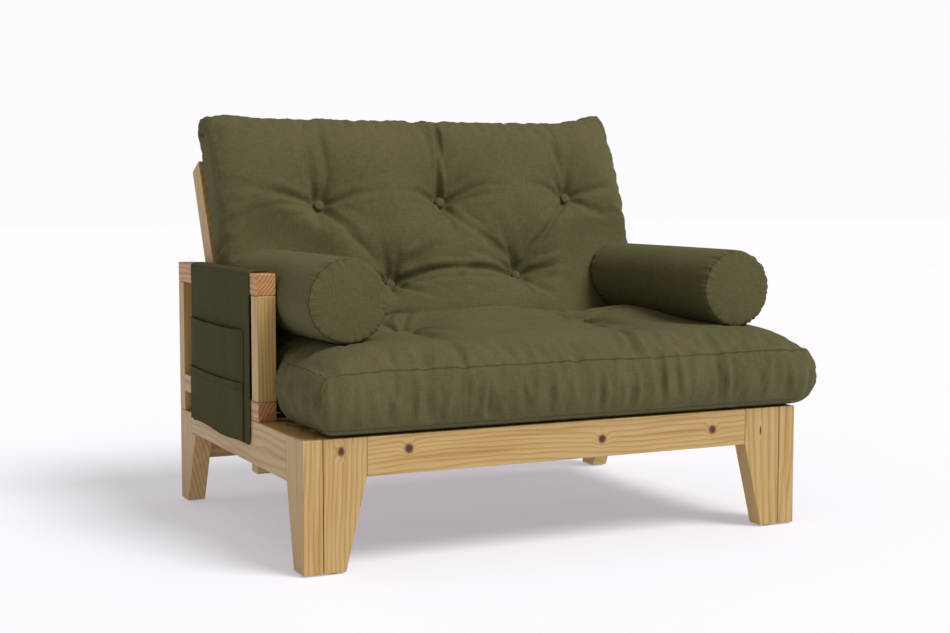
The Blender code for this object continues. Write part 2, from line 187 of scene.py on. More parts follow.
def ramp(
    tree: bpy.types.NodeTree, fac: bpy.types.NodeSocket, stops: Sequence[tuple[float, str]]
) -> bpy.types.NodeSocket:
    """Colour a value through a ramp.

    Args:
        tree: The node tree.
        fac: The value from 0 to 1.
        stops: Places and hex colours.

    Returns:
        The ramp's colour.
    """
    node = add_node(tree, "ValToRGB", i0=fac)
    elements = node.color_ramp.elements
    while len(elements) < len(stops):
        elements.new(0.5)
    for element, (place, colour) in zip(elements, stops):
        element.position = place
        element.color = linear(colour)
    return node.outputs["Color"]


def dress(node: bpy.types.Object, material: bpy.types.Material) -> None:
    """Give an object one material."""
    if not node.material_slots:
        node.data.materials.append(material)
    for place in node.material_slots:
        place.material = material


@dataclass(frozen=True)
class Pine:
    """Planed pine under clear lacquer: pale earlywood, tan latewood lines, dark knots and a soft sheen."""

    early: str = "#b89a63"
    middle: str = "#ab8d53"
    late: str = "#a08046"
    knot_ring: str = "#6e3f1e"
    knot_heart: str = "#3a1c0b"
    knot_halo: str = "#8a5a2c"
    knot_edge: str = "#b59058"
    ring_mm: float = 8.5
    roughness: float = 0.48

    def material(
        self, name: str, grain: Grain, knots: Sequence[tuple[float, ...]] = (), seed: float = 0.0
    ) -> bpy.types.Material:
        """Make the wood of one plank.

        Args:
            name: The material's name.
            grain: The axis that the fibres run along.
            knots: Each knot's middle, in metres, and how many times narrower than tall it is.
            seed: Moves the pattern, so that no two planks look alike.

        Returns:
            The material.
        """
        made, tree, shader = new_material(name)
        place = add_node(tree, "TexCoord").outputs["Object"]
        turned = self.along_fibres(tree, place, grain, seed)
        radius = self.from_pith(tree, turned)
        near = self.from_knots(tree, place, knots)
        if near is not None:
            # The rings flow round a knot.
            swirl = spread(tree, near, (0.006, 0.034), (0.008, 0.0), "SMOOTHERSTEP")
            radius = maths(tree, "ADD", radius, swirl)
        bands = maths(tree, "FRACT", maths(tree, "MULTIPLY", radius, 1000.0 / self.ring_mm))
        fibre_place = add_node(tree, "Mapping", Vector=turned, Scale=(6.0, 420.0, 420.0)).outputs[0]
        fibre = add_node(tree, "TexNoise", Vector=fibre_place, Scale=1.0, Detail=3.0, Roughness=0.6)
        fibre = fibre.outputs["Fac"]
        streak_place = add_node(tree, "Mapping", Vector=turned, Scale=(2.0, 46.0, 46.0)).outputs[0]
        streak = add_node(tree, "TexNoise", Vector=streak_place, Scale=1.0, Detail=2.0).outputs["Fac"]
        base = self.colour(tree, bands, fibre, streak)
        if near is not None:
            base = self.with_knots(tree, base, near)
        tree.links.new(base, shader.inputs["Base Color"])
        rough = spread(tree, fibre, (0.3, 0.7), (self.roughness - 0.06, self.roughness + 0.08))
        tree.links.new(rough, shader.inputs["Roughness"])
        height = maths(tree, "MULTIPLY_ADD", bands, 0.35, fibre)
        bump = add_node(tree, "Bump", Strength=0.10, Distance=0.0004, Height=height).outputs[0]
        tree.links.new(bump, shader.inputs["Normal"])
        shader.inputs["Coat Weight"].default_value = 0.12
        shader.inputs["Coat Roughness"].default_value = 0.35
        return made

    def along_fibres(
        self, tree: bpy.types.NodeTree, place: bpy.types.NodeSocket, grain: Grain, seed: float
    ) -> bpy.types.NodeSocket:
        """Turn a place so that the fibres run along its X."""
        turns = {Grain.ACROSS: (0, 0, 0), Grain.BACK: (0, 0, -math.pi / 2), Grain.UP: (0, math.pi / 2, 0)}
        shift = (seed * 1.7, seed * 0.61, seed * 0.37)
        settings = {"vector_type": "POINT"}
        turned = add_node(tree, "Mapping", settings, Vector=place, Rotation=turns[grain], Location=shift)
        return turned.outputs[0]

    def from_pith(self, tree: bpy.types.NodeTree, turned: bpy.types.NodeSocket) -> bpy.types.NodeSocket:
        """How far a place is from the trunk's middle."""
        # The trunk wanders slowly, which gives the long arches of plain-sawn boards.
        slow = add_node(tree, "Mapping", Vector=turned, Scale=(1.6, 7.0, 7.0)).outputs[0]
        sway = add_node(tree, "TexNoise", Vector=slow, Scale=1.0, Detail=3.0, Roughness=0.5).outputs["Color"]
        centred = vector_maths(tree, "SUBTRACT", sway, (0.5, 0.5, 0.5))
        swayed = vector_maths(tree, "MULTIPLY_ADD", centred, (0.0, 0.042, 0.042), turned)
        flat = vector_maths(tree, "MULTIPLY", swayed, (0.02, 1.0, 1.0))
        return vector_maths(tree, "LENGTH", flat, out="Value")

    def from_knots(
        self, tree: bpy.types.NodeTree, place: bpy.types.NodeSocket, knots: Sequence[tuple[float, ...]]
    ) -> bpy.types.NodeSocket | None:
        """How far a place is from the nearest knot, or None for a clear plank."""
        near: bpy.types.NodeSocket | None = None
        for *middle, narrow in knots:
            away = vector_maths(tree, "SUBTRACT", place, tuple(middle))
            # A knot goes through the plank from front to back, so depth hardly counts.
            scaled = vector_maths(tree, "MULTIPLY", away, (narrow, 0.12, 1.0))
            length = vector_maths(tree, "LENGTH", scaled, out="Value")
            near = length if near is None else maths(tree, "MINIMUM", near, length)
        if near is None:
            return None
        wobble = add_node(tree, "TexNoise", Vector=place, Scale=160.0, Detail=2.0).outputs["Fac"]
        return maths(tree, "MULTIPLY_ADD", wobble, 0.005, near)

    def colour(
        self,
        tree: bpy.types.NodeTree,
        bands: bpy.types.NodeSocket,
        fibre: bpy.types.NodeSocket,
        streak: bpy.types.NodeSocket,
    ) -> bpy.types.NodeSocket:
        """The clear wood's colour: rings with soft edges, under broad warmer streaks."""
        soft = maths(tree, "MULTIPLY_ADD", fibre, 0.50, -0.25)
        mixed = maths(tree, "ADD", bands, soft, clamp=True)
        rings = [(0.12, self.early), (0.50, self.early), (0.80, self.middle), (0.95, self.late)]
        wood = ramp(tree, mixed, [(0.0, self.middle), *rings, (1.0, self.middle)])
        tone = ramp(tree, streak, [(0.30, "#f3efe6"), (0.50, "#ffffff"), (0.75, "#e4cba6")])
        settings = {"data_type": "RGBA", "blend_type": "MULTIPLY"}
        return add_node(tree, "Mix", settings, i0=0.75, i6=wood, i7=tone).outputs[2]

    def with_knots(
        self, tree: bpy.types.NodeTree, base: bpy.types.NodeSocket, near: bpy.types.NodeSocket
    ) -> bpy.types.NodeSocket:
        """Lay the knots' dark hearts and rings over the wood, by the distance in metres."""
        heart = [(0.0, self.knot_heart), (0.0078, self.knot_heart), (0.0100, self.knot_ring)]
        dark = ramp(tree, near, [*heart, (0.0125, self.knot_halo), (0.019, self.knot_edge)])
        share = spread(tree, near, (0.0105, 0.019), (1.0, 0.0), "SMOOTHSTEP")
        return add_node(tree, "Mix", {"data_type": "RGBA"}, i0=share, i6=base, i7=dark).outputs[2]


@dataclass(frozen=True)
class Zinc:
    """Zinc-plated steel: a cool bright grey, rolled and tumbled, with a fine mottle in its gloss."""

    colour: str = "#b9bcbd"
    roughness: float = 0.34

    def material(self, name: str) -> bpy.types.Material:
        """Make the plated steel."""
        made, tree, shader = new_material(name)
        place = add_node(tree, "TexCoord").outputs["Object"]
        mottle = add_node(tree, "TexNoise", Vector=place, Scale=260.0, Detail=3.0).outputs["Fac"]
        steel = ramp(tree, mottle, [(0.3, "#a7abad"), (0.7, self.colour)])
        tree.links.new(steel, shader.inputs["Base Color"])
        rough = spread(tree, mottle, (0.3, 0.7), (self.roughness - 0.08, self.roughness + 0.10))
        tree.links.new(rough, shader.inputs["Roughness"])
        shader.inputs["Metallic"].default_value = 1.0
        return made


@dataclass(frozen=True)
class Nylon:
    """Moulded nylon: a milky grey, slightly waxy, with a fine spark-eroded grain from its mould."""

    colour: str = "#8d8980"

    def material(self, name: str) -> bpy.types.Material:
        """Make the moulded nylon."""
        made, tree, shader = new_material(name)
        place = add_node(tree, "TexCoord").outputs["Object"]
        grain = add_node(tree, "TexNoise", Vector=place, Scale=900.0, Detail=2.0).outputs["Fac"]
        tree.links.new(ramp(tree, grain, [(0.3, "#7f7b72"), (0.7, self.colour)]), shader.inputs["Base Color"])
        bump = add_node(tree, "Bump", Strength=0.2, Distance=0.0003, Height=grain).outputs[0]
        tree.links.new(bump, shader.inputs["Normal"])
        shader.inputs["Roughness"].default_value = 0.5
        return made


@dataclass(frozen=True)
class Canvas:
    """Plain-woven cotton canvas: matt olive, with slubs both ways and a faint bloom of loose fibres."""

    light: str = "#5c5937"
    middle: str = "#524f31"
    dark: str = "#464327"
    thread_mm: float = 1.2  # real threads are 0.6 mm, drawn coarser so that the weave shows
    sheen: float = 0.10

    def material(self, name: str, attribute: str = "weave") -> bpy.types.Material:
        """Make the woven cloth.

        Args:
            name: The material's name.
            attribute: The mesh attribute that holds a point's place on the flat cloth, in metres.

        Returns:
            The material.
        """
        made, tree, shader = new_material(name)
        place = add_node(tree, "Attribute", {"attribute_name": attribute}).outputs["Vector"]
        pitch = 1000.0 / self.thread_mm
        heights = []
        slubs = []
        for scale in ((pitch * 0.5, pitch * 0.055, 1.0), (pitch * 0.055, pitch * 0.5, 1.0)):
            threads = add_node(tree, "Mapping", Vector=place, Scale=scale).outputs[0]
            slub = add_node(tree, "TexNoise", Vector=threads, Scale=1.0, Detail=3.0, Roughness=0.62)
            slubs.append(slub.outputs["Fac"])
        for axis in ("X", "Y"):
            settings = {"wave_type": "BANDS", "bands_direction": axis, "wave_profile": "SIN"}
            scale = pitch / 6.2832 * 0.5
            wave = add_node(tree, "TexWave", settings, Vector=place, Scale=scale, Distortion=0.0)
            heights.append(wave.outputs["Fac"])
        both = maths(tree, "ADD", slubs[0], slubs[1])
        half = maths(tree, "MULTIPLY", both, 0.5)
        cloud = add_node(tree, "TexNoise", Vector=place, Scale=5.0, Detail=4.0, Roughness=0.6).outputs["Fac"]
        lowered = maths(tree, "SUBTRACT", maths(tree, "MULTIPLY_ADD", cloud, 0.30, half), 0.15)
        colour = ramp(tree, lowered, [(0.30, self.dark), (0.50, self.middle), (0.70, self.light)])
        # A sewn seam shows as a thin dark line of painted shade, and the attribute's third value is the
        # distance to it.
        from_seam = add_node(tree, "SeparateXYZ", Vector=place).outputs["Z"]
        seam = spread(tree, from_seam, (0.0004, 0.0024), (0.0, 1.0), "SMOOTHSTEP")
        shade = spread(tree, seam, (0.0, 1.0), (0.55, 1.0))
        # sewn is the cloth's colour with that painted seam shade laid in.
        sewn = add_node(tree, "VectorMath", {"operation": "SCALE"}, i0=colour, i3=shade).outputs[0]
        tree.links.new(sewn, shader.inputs["Base Color"])
        weave = maths(tree, "MULTIPLY", heights[0], heights[1])
        threads_up = maths(tree, "MULTIPLY_ADD", both, 0.9, weave)
        height = maths(tree, "MULTIPLY_ADD", seam, 2.6, threads_up)
        bump = add_node(tree, "Bump", Strength=0.35, Distance=0.0006, Height=height).outputs[0]
        tree.links.new(bump, shader.inputs["Normal"])
        shader.inputs["Roughness"].default_value = 0.92
        shader.inputs["Specular IOR Level"].default_value = 0.25
        shader.inputs["Sheen Weight"].default_value = self.sheen
        shader.inputs["Sheen Roughness"].default_value = 0.55
        shader.inputs["Sheen Tint"].default_value = linear("#a8a67c")
        return made


@dataclass(frozen=True)
class Layout:
    """Where the frame stands: the x of its middle and the y of its front face."""

    middle: float
    front: float

    def at(self, x: float, y: float, z: float) -> Vector:
        """Turn a place measured from the frame's front middle to the shared frame."""
        return Vector((x + self.middle, y + self.front, z))

    def array(self, points: np.ndarray) -> np.ndarray:
        """Turn many places measured from the frame's front middle to the shared frame."""
        return points + np.array([self.middle, self.front, 0.0])


def find_layout() -> Layout:
    """Read the frame's middle and front from its legs and front rail."""
    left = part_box("leg_front_left")[0].x
    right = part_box("leg_front_right")[1].x
    return Layout((left + right) / 2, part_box("front_rail")[0].y)


def clear_selection() -> None:
    """Leave nothing selected."""
    if bpy.context.object and bpy.context.object.mode != "OBJECT":
        bpy.ops.object.mode_set(mode="OBJECT")
    bpy.ops.object.select_all(action="DESELECT")


def grid_piece(name: str, columns: int, rows: int) -> bpy.types.Object:
    """Add a flat grid from 0 to 1 in x and y, as a start for cloth.

    Args:
        name: The object's name.
        columns: Cells along x.
        rows: Cells along y.

    Returns:
        The object, at the origin.
    """
    clear_selection()
    middle = (0.5, 0.5, 0)
    bpy.ops.mesh.primitive_grid_add(x_subdivisions=columns, y_subdivisions=rows, size=1, location=middle)
    piece = bpy.context.object
    piece.name = piece.data.name = name
    bpy.ops.object.transform_apply(location=True, rotation=True, scale=True)
    return piece


def read_points(piece: bpy.types.Object) -> np.ndarray:
    """Read a mesh's points as an N by 3 array."""
    points = np.empty(len(piece.data.vertices) * 3)
    piece.data.vertices.foreach_get("co", points)
    return points.reshape(-1, 3)


def write_points(piece: bpy.types.Object, points: np.ndarray) -> None:
    """Write a mesh's points from an N by 3 array."""
    piece.data.vertices.foreach_set("co", np.ascontiguousarray(points, np.float32).ravel())
    piece.data.update()


def store(piece: bpy.types.Object, name: str, values: np.ndarray) -> None:
    """Store a vector for each point, such as its place on the flat cloth.

    Args:
        piece: The mesh object.
        name: The attribute's name.
        values: N by 3 values.
    """
    attribute = piece.data.attributes.get(name) or piece.data.attributes.new(name, "FLOAT_VECTOR", "POINT")
    attribute.data.foreach_set("vector", np.ascontiguousarray(values, np.float32).ravel())


def load(piece: bpy.types.Object, name: str) -> np.ndarray:
    """Read back the vector stored for each point."""
    values = np.empty(len(piece.data.vertices) * 3)
    piece.data.attributes[name].data.foreach_get("vector", values)
    return values.reshape(-1, 3)


def make_active(piece: bpy.types.Object) -> None:
    """Select only this piece."""
    clear_selection()
    piece.select_set(True)
    bpy.context.view_layer.objects.active = piece


def weld(piece: bpy.types.Object, distance: float = 0.0002) -> None:
    """Merge points that meet, turn the faces outwards and shade them smooth."""
    make_active(piece)
    bpy.ops.object.mode_set(mode="EDIT")
    bpy.ops.mesh.select_all(action="SELECT")
    bpy.ops.mesh.remove_doubles(threshold=distance)
    bpy.ops.mesh.normals_make_consistent(inside=False)
    bpy.ops.object.mode_set(mode="OBJECT")
    bpy.ops.object.shade_smooth()


def subdivide(piece: bpy.types.Object, levels: int = 1) -> None:
    """Apply a Subdivision Surface."""
    make_active(piece)
    modifier = piece.modifiers.new("smooth", "SUBSURF")
    modifier.levels = modifier.render_levels = levels
    bpy.ops.object.modifier_apply(modifier=modifier.name)


def fall(distance: np.ndarray, width: float | np.ndarray) -> np.ndarray:
    """A smooth hump: 1 at no distance, and near 0 past twice the width."""
    return np.exp(-((distance / width) ** 2))


def step(value: np.ndarray, low: float, high: float) -> np.ndarray:
    """Rise smoothly from 0 at low to 1 at high."""
    t = np.clip((value - low) / (high - low), 0, 1)
    return t * t * (3 - 2 * t)


def ripple(points: np.ndarray, scale: Point, seed: float) -> np.ndarray:
    """Smooth noise between -1 and 1 at each point.

    Args:
        points: N by 3 places.
        scale: Waves for each metre along x, y and z.
        seed: Moves the pattern.

    Returns:
        N values.
    """
    places = points * np.array(scale) + seed
    return np.array([noise.noise(Vector(place)) for place in places])


def normals_of(piece: bpy.types.Object) -> np.ndarray:
    """Each point's normal."""
    found = np.empty(len(piece.data.vertices) * 3)
    piece.data.vertices.foreach_get("normal", found)
    return found.reshape(-1, 3)


@dataclass(frozen=True)
class Fold:
    """A crease pressed into cloth, along points of the flat cloth, deepest at its start."""

    path: tuple[tuple[float, float], ...]
    depth: float = 0.009
    width: float = 0.009
    end_depth: float = 0.001
    end_width: float = 0.022

    def press(self, x: np.ndarray, p: np.ndarray) -> np.ndarray:
        """How deep the crease is at places of the flat cloth.

        Args:
            x: Places across the cloth.
            p: Places along the cloth.

        Returns:
            Depths in metres, with a low swelling beside the crease.
        """
        knots = np.array(self.path)
        line = smooth_line(knots, 24)
        best = np.full(len(x), 9.0)
        share = np.zeros(len(x))
        for index in range(len(line) - 1):
            a, b = line[index], line[index + 1]
            d = b - a
            t = np.clip(((x - a[0]) * d[0] + (p - a[1]) * d[1]) / max(d @ d, 1e-9), 0, 1)
            away = np.hypot(x - a[0] - t * d[0], p - a[1] - t * d[1])
            closer = away < best
            best = np.where(closer, away, best)
            share = np.where(closer, (index + t) / (len(line) - 1), share)
        depth = 1.15 * (self.depth + (self.end_depth - self.depth) * share**0.8)
        width = 0.64 * (self.width + (self.end_width - self.width) * share)
        return depth * (np.exp(-((best / width) ** 1.25)) - 0.30 * fall(best - 2.4 * width, width))


def smooth_line(knots: np.ndarray, count: int) -> np.ndarray:
    """Run a smooth line through some points.

    Args:
        knots: M by 2 points.
        count: How many points the line gets.

    Returns:
        count by 2 points.
    """
    if len(knots) == 2:
        return knots[0] + np.linspace(0, 1, count)[:, None] * (knots[1] - knots[0])
    spread = np.vstack([2 * knots[0] - knots[1], knots, 2 * knots[-1] - knots[-2]])
    made = []
    for value in np.linspace(0, len(knots) - 1 - 1e-9, count):
        i, t = int(value), value - int(value)
        a, b, c, d = spread[i : i + 4]
        bent = (2 * a - 5 * b + 4 * c - d) * t**2
        made.append(0.5 * (2 * b + (c - a) * t + bent + (3 * b - a - 3 * c + d) * t**3))
    return np.array(made)


def roll(piece: bpy.types.Object, shape: Shape) -> None:
    """Bend a flat grid to its shape and store its place on the flat cloth.

    Args:
        piece: The grid, from 0 to 1 in x and y.
        shape: Turns x and y to places and flat places, each N by 3.
    """
    flat = read_points(piece)
    places, cloth = shape(flat[:, 0], flat[:, 1])
    store(piece, "weave", cloth)
    write_points(piece, places)


@dataclass
class Swell:
    """Blows a closed cover up, so that the cloth wrinkles as it does round a real filling."""

    pressure: float = 4.0
    spare_cloth: float = 0.035
    most: float = 0.022
    frames: int = 20

    def run(self, piece: bpy.types.Object, held: np.ndarray) -> None:
        """Simulate the cover and apply the result.

        Args:
            piece: The cover, a closed mesh facing outwards.
            held: How firmly each point is held, from 0 to 1.
        """
        start = read_points(piece)
        group = piece.vertex_groups.new(name="held")
        for level in np.unique(np.round(held, 2)):
            if level > 0:
                group.add(np.nonzero(np.abs(held - level) < 0.006)[0].tolist(), float(level), "REPLACE")
        cloth = piece.modifiers.new("swell", "CLOTH")
        settings = cloth.settings
        settings.quality = 4
        settings.mass = 0.35
        settings.tension_stiffness = settings.compression_stiffness = 12
        settings.shear_stiffness = 4
        settings.bending_stiffness = 0.25
        settings.tension_damping = settings.compression_damping = 12
        settings.use_pressure = True
        settings.uniform_pressure_force = self.pressure
        settings.shrink_min = -self.spare_cloth
        settings.vertex_group_mass = "held"
        settings.effector_weights.gravity = 0
        cloth.collision_settings.use_collision = False
        cloth.point_cache.frame_start, cloth.point_cache.frame_end = 1, self.frames
        scene = bpy.context.scene
        for frame in range(1, self.frames + 1):
            scene.frame_set(frame)
        graph = bpy.context.evaluated_depsgraph_get()
        mesh = piece.evaluated_get(graph).to_mesh()
        moved = np.empty(len(mesh.vertices) * 3)
        mesh.vertices.foreach_get("co", moved)
        move = moved.reshape(-1, 3) - start
        piece.modifiers.remove(cloth)
        piece.vertex_groups.remove(group)
        scene.frame_set(1)
        size = np.linalg.norm(move, axis=1, keepdims=True)
        mean, most = size.mean() * 1000, size.max() * 1000
        LOG.info("%s moved %.1f mm on average, %.1f mm at most", piece.name, mean, most)
        write_points(piece, start + move * (np.tanh(size / self.most) * self.most / np.maximum(size, 1e-9)))


@dataclass
class Bolster:
    """One round bolster: a tube of cloth with a disc sewn into each end, lying against the back."""

    side: str
    layout: Layout
    middle_x: float
    radius: float = 0.0965
    middle_z: float = 0.5750
    front: float = 0.104
    rear: float = 0.6620
    dome: float = 0.007

    def rear_y(self, z: np.ndarray) -> np.ndarray:
        """Where the leaning back stops the bolster, at a height."""
        return self.rear + (z - self.middle_z) * math.tan(LEAN)

    def build(self, cloth: bpy.types.Material) -> bpy.types.Object:
        """Make the bolster.

        Args:
            cloth: The woven cloth.

        Returns:
            The finished piece, riding on its body.
        """
        piece = grid_piece(f"bolster_{self.side}_cover", 180, 120)
        length = self.rear - self.front
        total = 2 * self.radius + length

        def shape(x: np.ndarray, y: np.ndarray) -> tuple[np.ndarray, np.ndarray]:
            """Round the grid into the front disc, the tube and the rear disc."""
            angle = x * 2 * math.pi
            # Rows fall exactly on both seams.
            run = np.interp(y, [0, 1 / 6, 5 / 6, 1], [0, self.radius, self.radius + length, total])
            disc = run < self.radius
            tail = run > self.radius + length
            r = np.where(disc, run, np.where(tail, total - run, self.radius))
            body = np.clip((run - self.radius) / length, 0, 1)
            seam = np.where(disc | tail, self.radius - r, np.minimum(body, 1 - body) * length)
            # The seam at each end is drawn up into short gathers.
            end = np.where(body < 0.5, 0.0, 3.0)
            round_place = np.stack([np.cos(angle) * 1.6, np.sin(angle) * 1.6, end], 1)
            wave = ripple(round_place, (2.4, 2.4, 1.0), 11.0 + self.middle_x)
            gather = np.abs(np.sin(angle * 15 + 5.0 * wave)) ** 0.7 - 0.6 + 0.5 * wave
            near = np.exp(-seam / np.where(disc | tail, 0.0085, 0.015))
            on_tube = np.stack([np.cos(angle), np.sin(angle), body * 1.4], 1)
            slow = ripple(on_tube, (1.3, 1.3, 1.3), 5.0 + self.middle_x)
            slack = 0.0045 * np.where(disc | tail, 0.0, np.exp(-seam / 0.010))
            made_r = r - slack + np.where(disc | tail, 0.0, 0.0060 * gather * near + 0.0024 * slow)
            made_r = np.where(disc, r * (1 - 0.0035 / self.radius), made_r)
            made_r = np.where(tail, r * (1 - 0.0045 / self.radius), made_r)
            px = self.middle_x + made_r * np.cos(angle)
            pz = self.middle_z + made_r * np.sin(angle)
            share = np.sqrt(np.clip(1 - (r / self.radius) ** 2, 0, 1))
            bulge = self.dome * share + 0.0075 * gather * near * (r / self.radius)
            start = self.front - np.where(disc, bulge, 0.0) + 0.002
            stop = self.rear_y(pz) + np.where(tail, 0.002 * share, -0.002)
            py = start + (stop - start) * np.where(disc, 0.0, np.where(tail, 1.0, body))
            flat_x = np.where(disc | tail, made_r * np.cos(angle), angle * self.radius)
            # The third value is the distance to an end seam, where the cloth's material paints a thin line of
            # shade.
            flat = np.stack([flat_x, np.where(disc | tail, made_r * np.sin(angle), py), seam], 1)
            return self.layout.array(np.stack([px, py, pz], 1)), flat

        roll(piece, shape)
        weld(piece, 0.00005)
        subdivide(piece)
        weld(piece, 0.00001)
        dress(piece, cloth)
        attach(piece, f"bolster_{self.side}")
        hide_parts(f"bolster_{self.side}")
        return piece


@dataclass
class Button:
    """A cloth-covered button, 28 mm across, drawn down into the tufting."""

    radius: float = 0.0140
    height: float = 0.0056

    def build(
        self, name: str, place: Vector, up: Vector, body: str, cloth: bpy.types.Material
    ) -> bpy.types.Object:
        """Make one button.

        Args:
            name: The piece's name.
            place: The middle of its underside.
            up: The way that it faces.
            body: The body that it rides on.
            cloth: The woven cloth.

        Returns:
            The finished piece.
        """
        piece = grid_piece(name, 36, 18)
        turn = up.to_track_quat("Z", "Y").to_matrix()
        crown = [(0.0, 1.0), (0.35, 0.97), (0.62, 0.84), (0.82, 0.60), (0.95, 0.30), (1.0, 0.08)]
        profile = np.array([*crown, (0.97, -0.12), (0.80, -0.25), (0.4, -0.3), (0.0, -0.3)])

        def shape(x: np.ndarray, y: np.ndarray) -> tuple[np.ndarray, np.ndarray]:
            """Turn the profile round the button's axis."""
            where = y * (len(profile) - 1)
            r = np.interp(where, range(len(profile)), profile[:, 0]) * self.radius
            z = np.interp(where, range(len(profile)), profile[:, 1]) * self.height
            pucker = 1 + 0.02 * np.sin(9 * x * 2 * math.pi) * (r / self.radius) ** 3
            angle = x * 2 * math.pi
            local = np.stack([r * pucker * np.cos(angle), r * pucker * np.sin(angle), z], 1)
            flat = np.stack([local[:, 0], local[:, 1], np.full(len(x), 0.1)], 1)
            return local @ np.array(turn).T + np.array(place), flat

        roll(piece, shape)
        weld(piece, 0.00002)
        dress(piece, cloth)
        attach(piece, body)
        return piece


@dataclass
class Mattress:
    """The tufted mattress: one pad that is the seat, bends at the hinge and goes up the leaning back."""

    layout: Layout
    cell: float = 0.0102
    front: float = -0.023
    floor: float = 0.2930
    crease_y: float = 0.6530
    back_length: float = 0.748
    hinge_reach: float = 0.24
    border_height: float = 0.135
    layers: int = 10
    tufts: tuple[tuple[float, float, float], ...] = (
        (-0.235, 0.423, 0.172),
        (0.261, 0.459, 0.178),
        (-0.155, 0.938, 0.102),
        (0.214, 0.951, 0.102),
        (-0.320, 1.156, 0.106),
        (0.023, 1.161, 0.106),
        (0.410, 1.174, 0.106),
    )
    bolsters: tuple[Bolster, ...] = ()
    folds: tuple[Fold, ...] = field(default_factory=lambda: MATTRESS_FOLDS)

    @property
    def bend(self) -> float:
        """How far along the pad the hinge is."""
        return self.crease_y - self.front

    @property
    def length(self) -> float:
        """The pad's whole length, from the seat's front to the top of the back."""
        return self.bend + self.back_length

    def left(self, p: np.ndarray) -> np.ndarray:
        """The left edge at places along the pad. In front of the arm the pad bulges out."""
        beside_arm = 0.019 * step(p, 0.24, 0.345)
        return -0.602 + beside_arm - 0.0045 * step(p, 1.05, 1.15) - 0.007 * step(p, 1.375, 1.45)

    def right(self, p: np.ndarray) -> np.ndarray:
        """The right edge at places along the pad."""
        return 0.688 - 0.088 * step(p, 0.42, 0.86)

    def thickness(self, x: np.ndarray, p: np.ndarray) -> np.ndarray:
        """How thick the pad is, without its border's roundness.

        Args:
            x: Places across.
            p: Places along.

        Returns:
            Thicknesses in metres.
        """
        seam = 0.1300 - 0.0160 * step(p, 0.50, 0.84)
        # The filling has worked backwards, so that the seat stands highest in front of the back.
        crown = 0.176 + 0.034 * fall(p - 0.50, 0.15) - 0.012 * step(p, 0.50, 0.84)

        def edge(distance: np.ndarray, reach: float) -> np.ndarray:
            """Rise from the seam at an edge to the crown."""
            return 1 - (1 - np.clip(distance / reach, 0, 1)) ** 2.3

        dome = edge(x - self.left(p), 0.15) * edge(self.right(p) - x, 0.15)
        dome = dome * edge(p, 0.15) * edge(self.length - p, 0.20)
        made = seam + (crown - seam) * dome**0.8
        made = made - 0.014 * fall(p - self.bend - 0.02, 0.08)
        for bolster in self.bolsters:
            made = made - 0.036 * fall(np.hypot(x - bolster.middle_x, p - self.bend - 0.245), 0.19)
        # A shallow channel runs forward from each seat tuft.
        for tx, tp, _ in self.tufts[:2]:
            channel = 0.017 * fall(x - tx + 0.05 * (tp - p), 0.055)
            made = made - channel * step(p, 0.10, 0.26) * (1 - step(p, tp, tp + 0.06))
        for tx, tp, target in self.tufts:
            r = np.hypot((x - tx), (p - tp) * 0.92)
            share = 0.66 * np.exp(-r / 0.075) + 0.34 * fall(r, 0.030)
            made = made - np.maximum(made - target, 0) * share
        return made

    def lean(self, p: np.ndarray) -> np.ndarray:
        """How far the pad's upward direction has turned from upright at places along it."""
        return math.radians(65) * step(p, self.bend - self.hinge_reach, self.bend + self.hinge_reach)

    def place(self, x: np.ndarray, p: np.ndarray, up: np.ndarray) -> np.ndarray:
        """Bend the pad over the hinge.

        Args:
            x: Places across.
            p: Places along the underside.
            up: Heights above the underside.

        Returns:
            N by 3 places in the shared frame.
        """
        lean = self.lean(p)
        back = np.maximum(p - self.bend, 0)
        stretch = np.where(p < self.bend, 1 / np.cos(lean), 1 / np.cos(math.radians(65) - lean))
        y = self.front + np.minimum(p, self.bend) + back * math.sin(LEAN) - np.sin(lean) * up * stretch
        z = self.floor + back * math.cos(LEAN) + np.cos(lean) * up * stretch
        return self.layout.array(np.stack([x, y, z], 1))

    def build(self, cloth: bpy.types.Material) -> bpy.types.Object:
        """Make the mattress.

        Args:
            cloth: The woven cloth.

        Returns:
            The finished piece, bending between the seat and the back.
        """
        columns, rows = round(1.25 / self.cell), round(self.length / self.cell)
        piece = grid_piece("mattress_cover", columns, rows)
        bpy.ops.object.mode_set(mode="EDIT")
        bpy.ops.mesh.select_all(action="SELECT")
        bpy.ops.mesh.extrude_region_move(TRANSFORM_OT_translate={"value": (0, 0, 1)})
        for layer in range(1, self.layers):
            bpy.ops.mesh.select_all(action="SELECT")
            bpy.ops.mesh.bisect(plane_co=(0, 0, layer / self.layers), plane_no=(0, 0, 1))
        bpy.ops.object.mode_set(mode="OBJECT")
        flat = read_points(piece)
        store(piece, "flat", flat)
        x, y, h = flat[:, 0], flat[:, 1], flat[:, 2]
        # The border stands out between its two seams.
        tuck = 0.010 - 0.0125 * (1 - np.abs(2 * h - 1) ** 2.2)
        p = tuck + y * (self.length - 2 * tuck)
        left, right = self.left(p) + tuck, self.right(p) - tuck
        across = left + x * (right - left)
        near_x = np.minimum(across - left, right - across)
        near_p = np.minimum(p - tuck, self.length - tuck - p)
        corner = np.clip(1 - near_x / 0.06, 0, 1) ** 2 * np.clip(1 - near_p / 0.06, 0, 1) ** 2
        across = across + np.where(x < 0.5, 0.009, -0.012) * corner
        p = p + np.where(y < 0.5, 0.010, -0.010) * corner
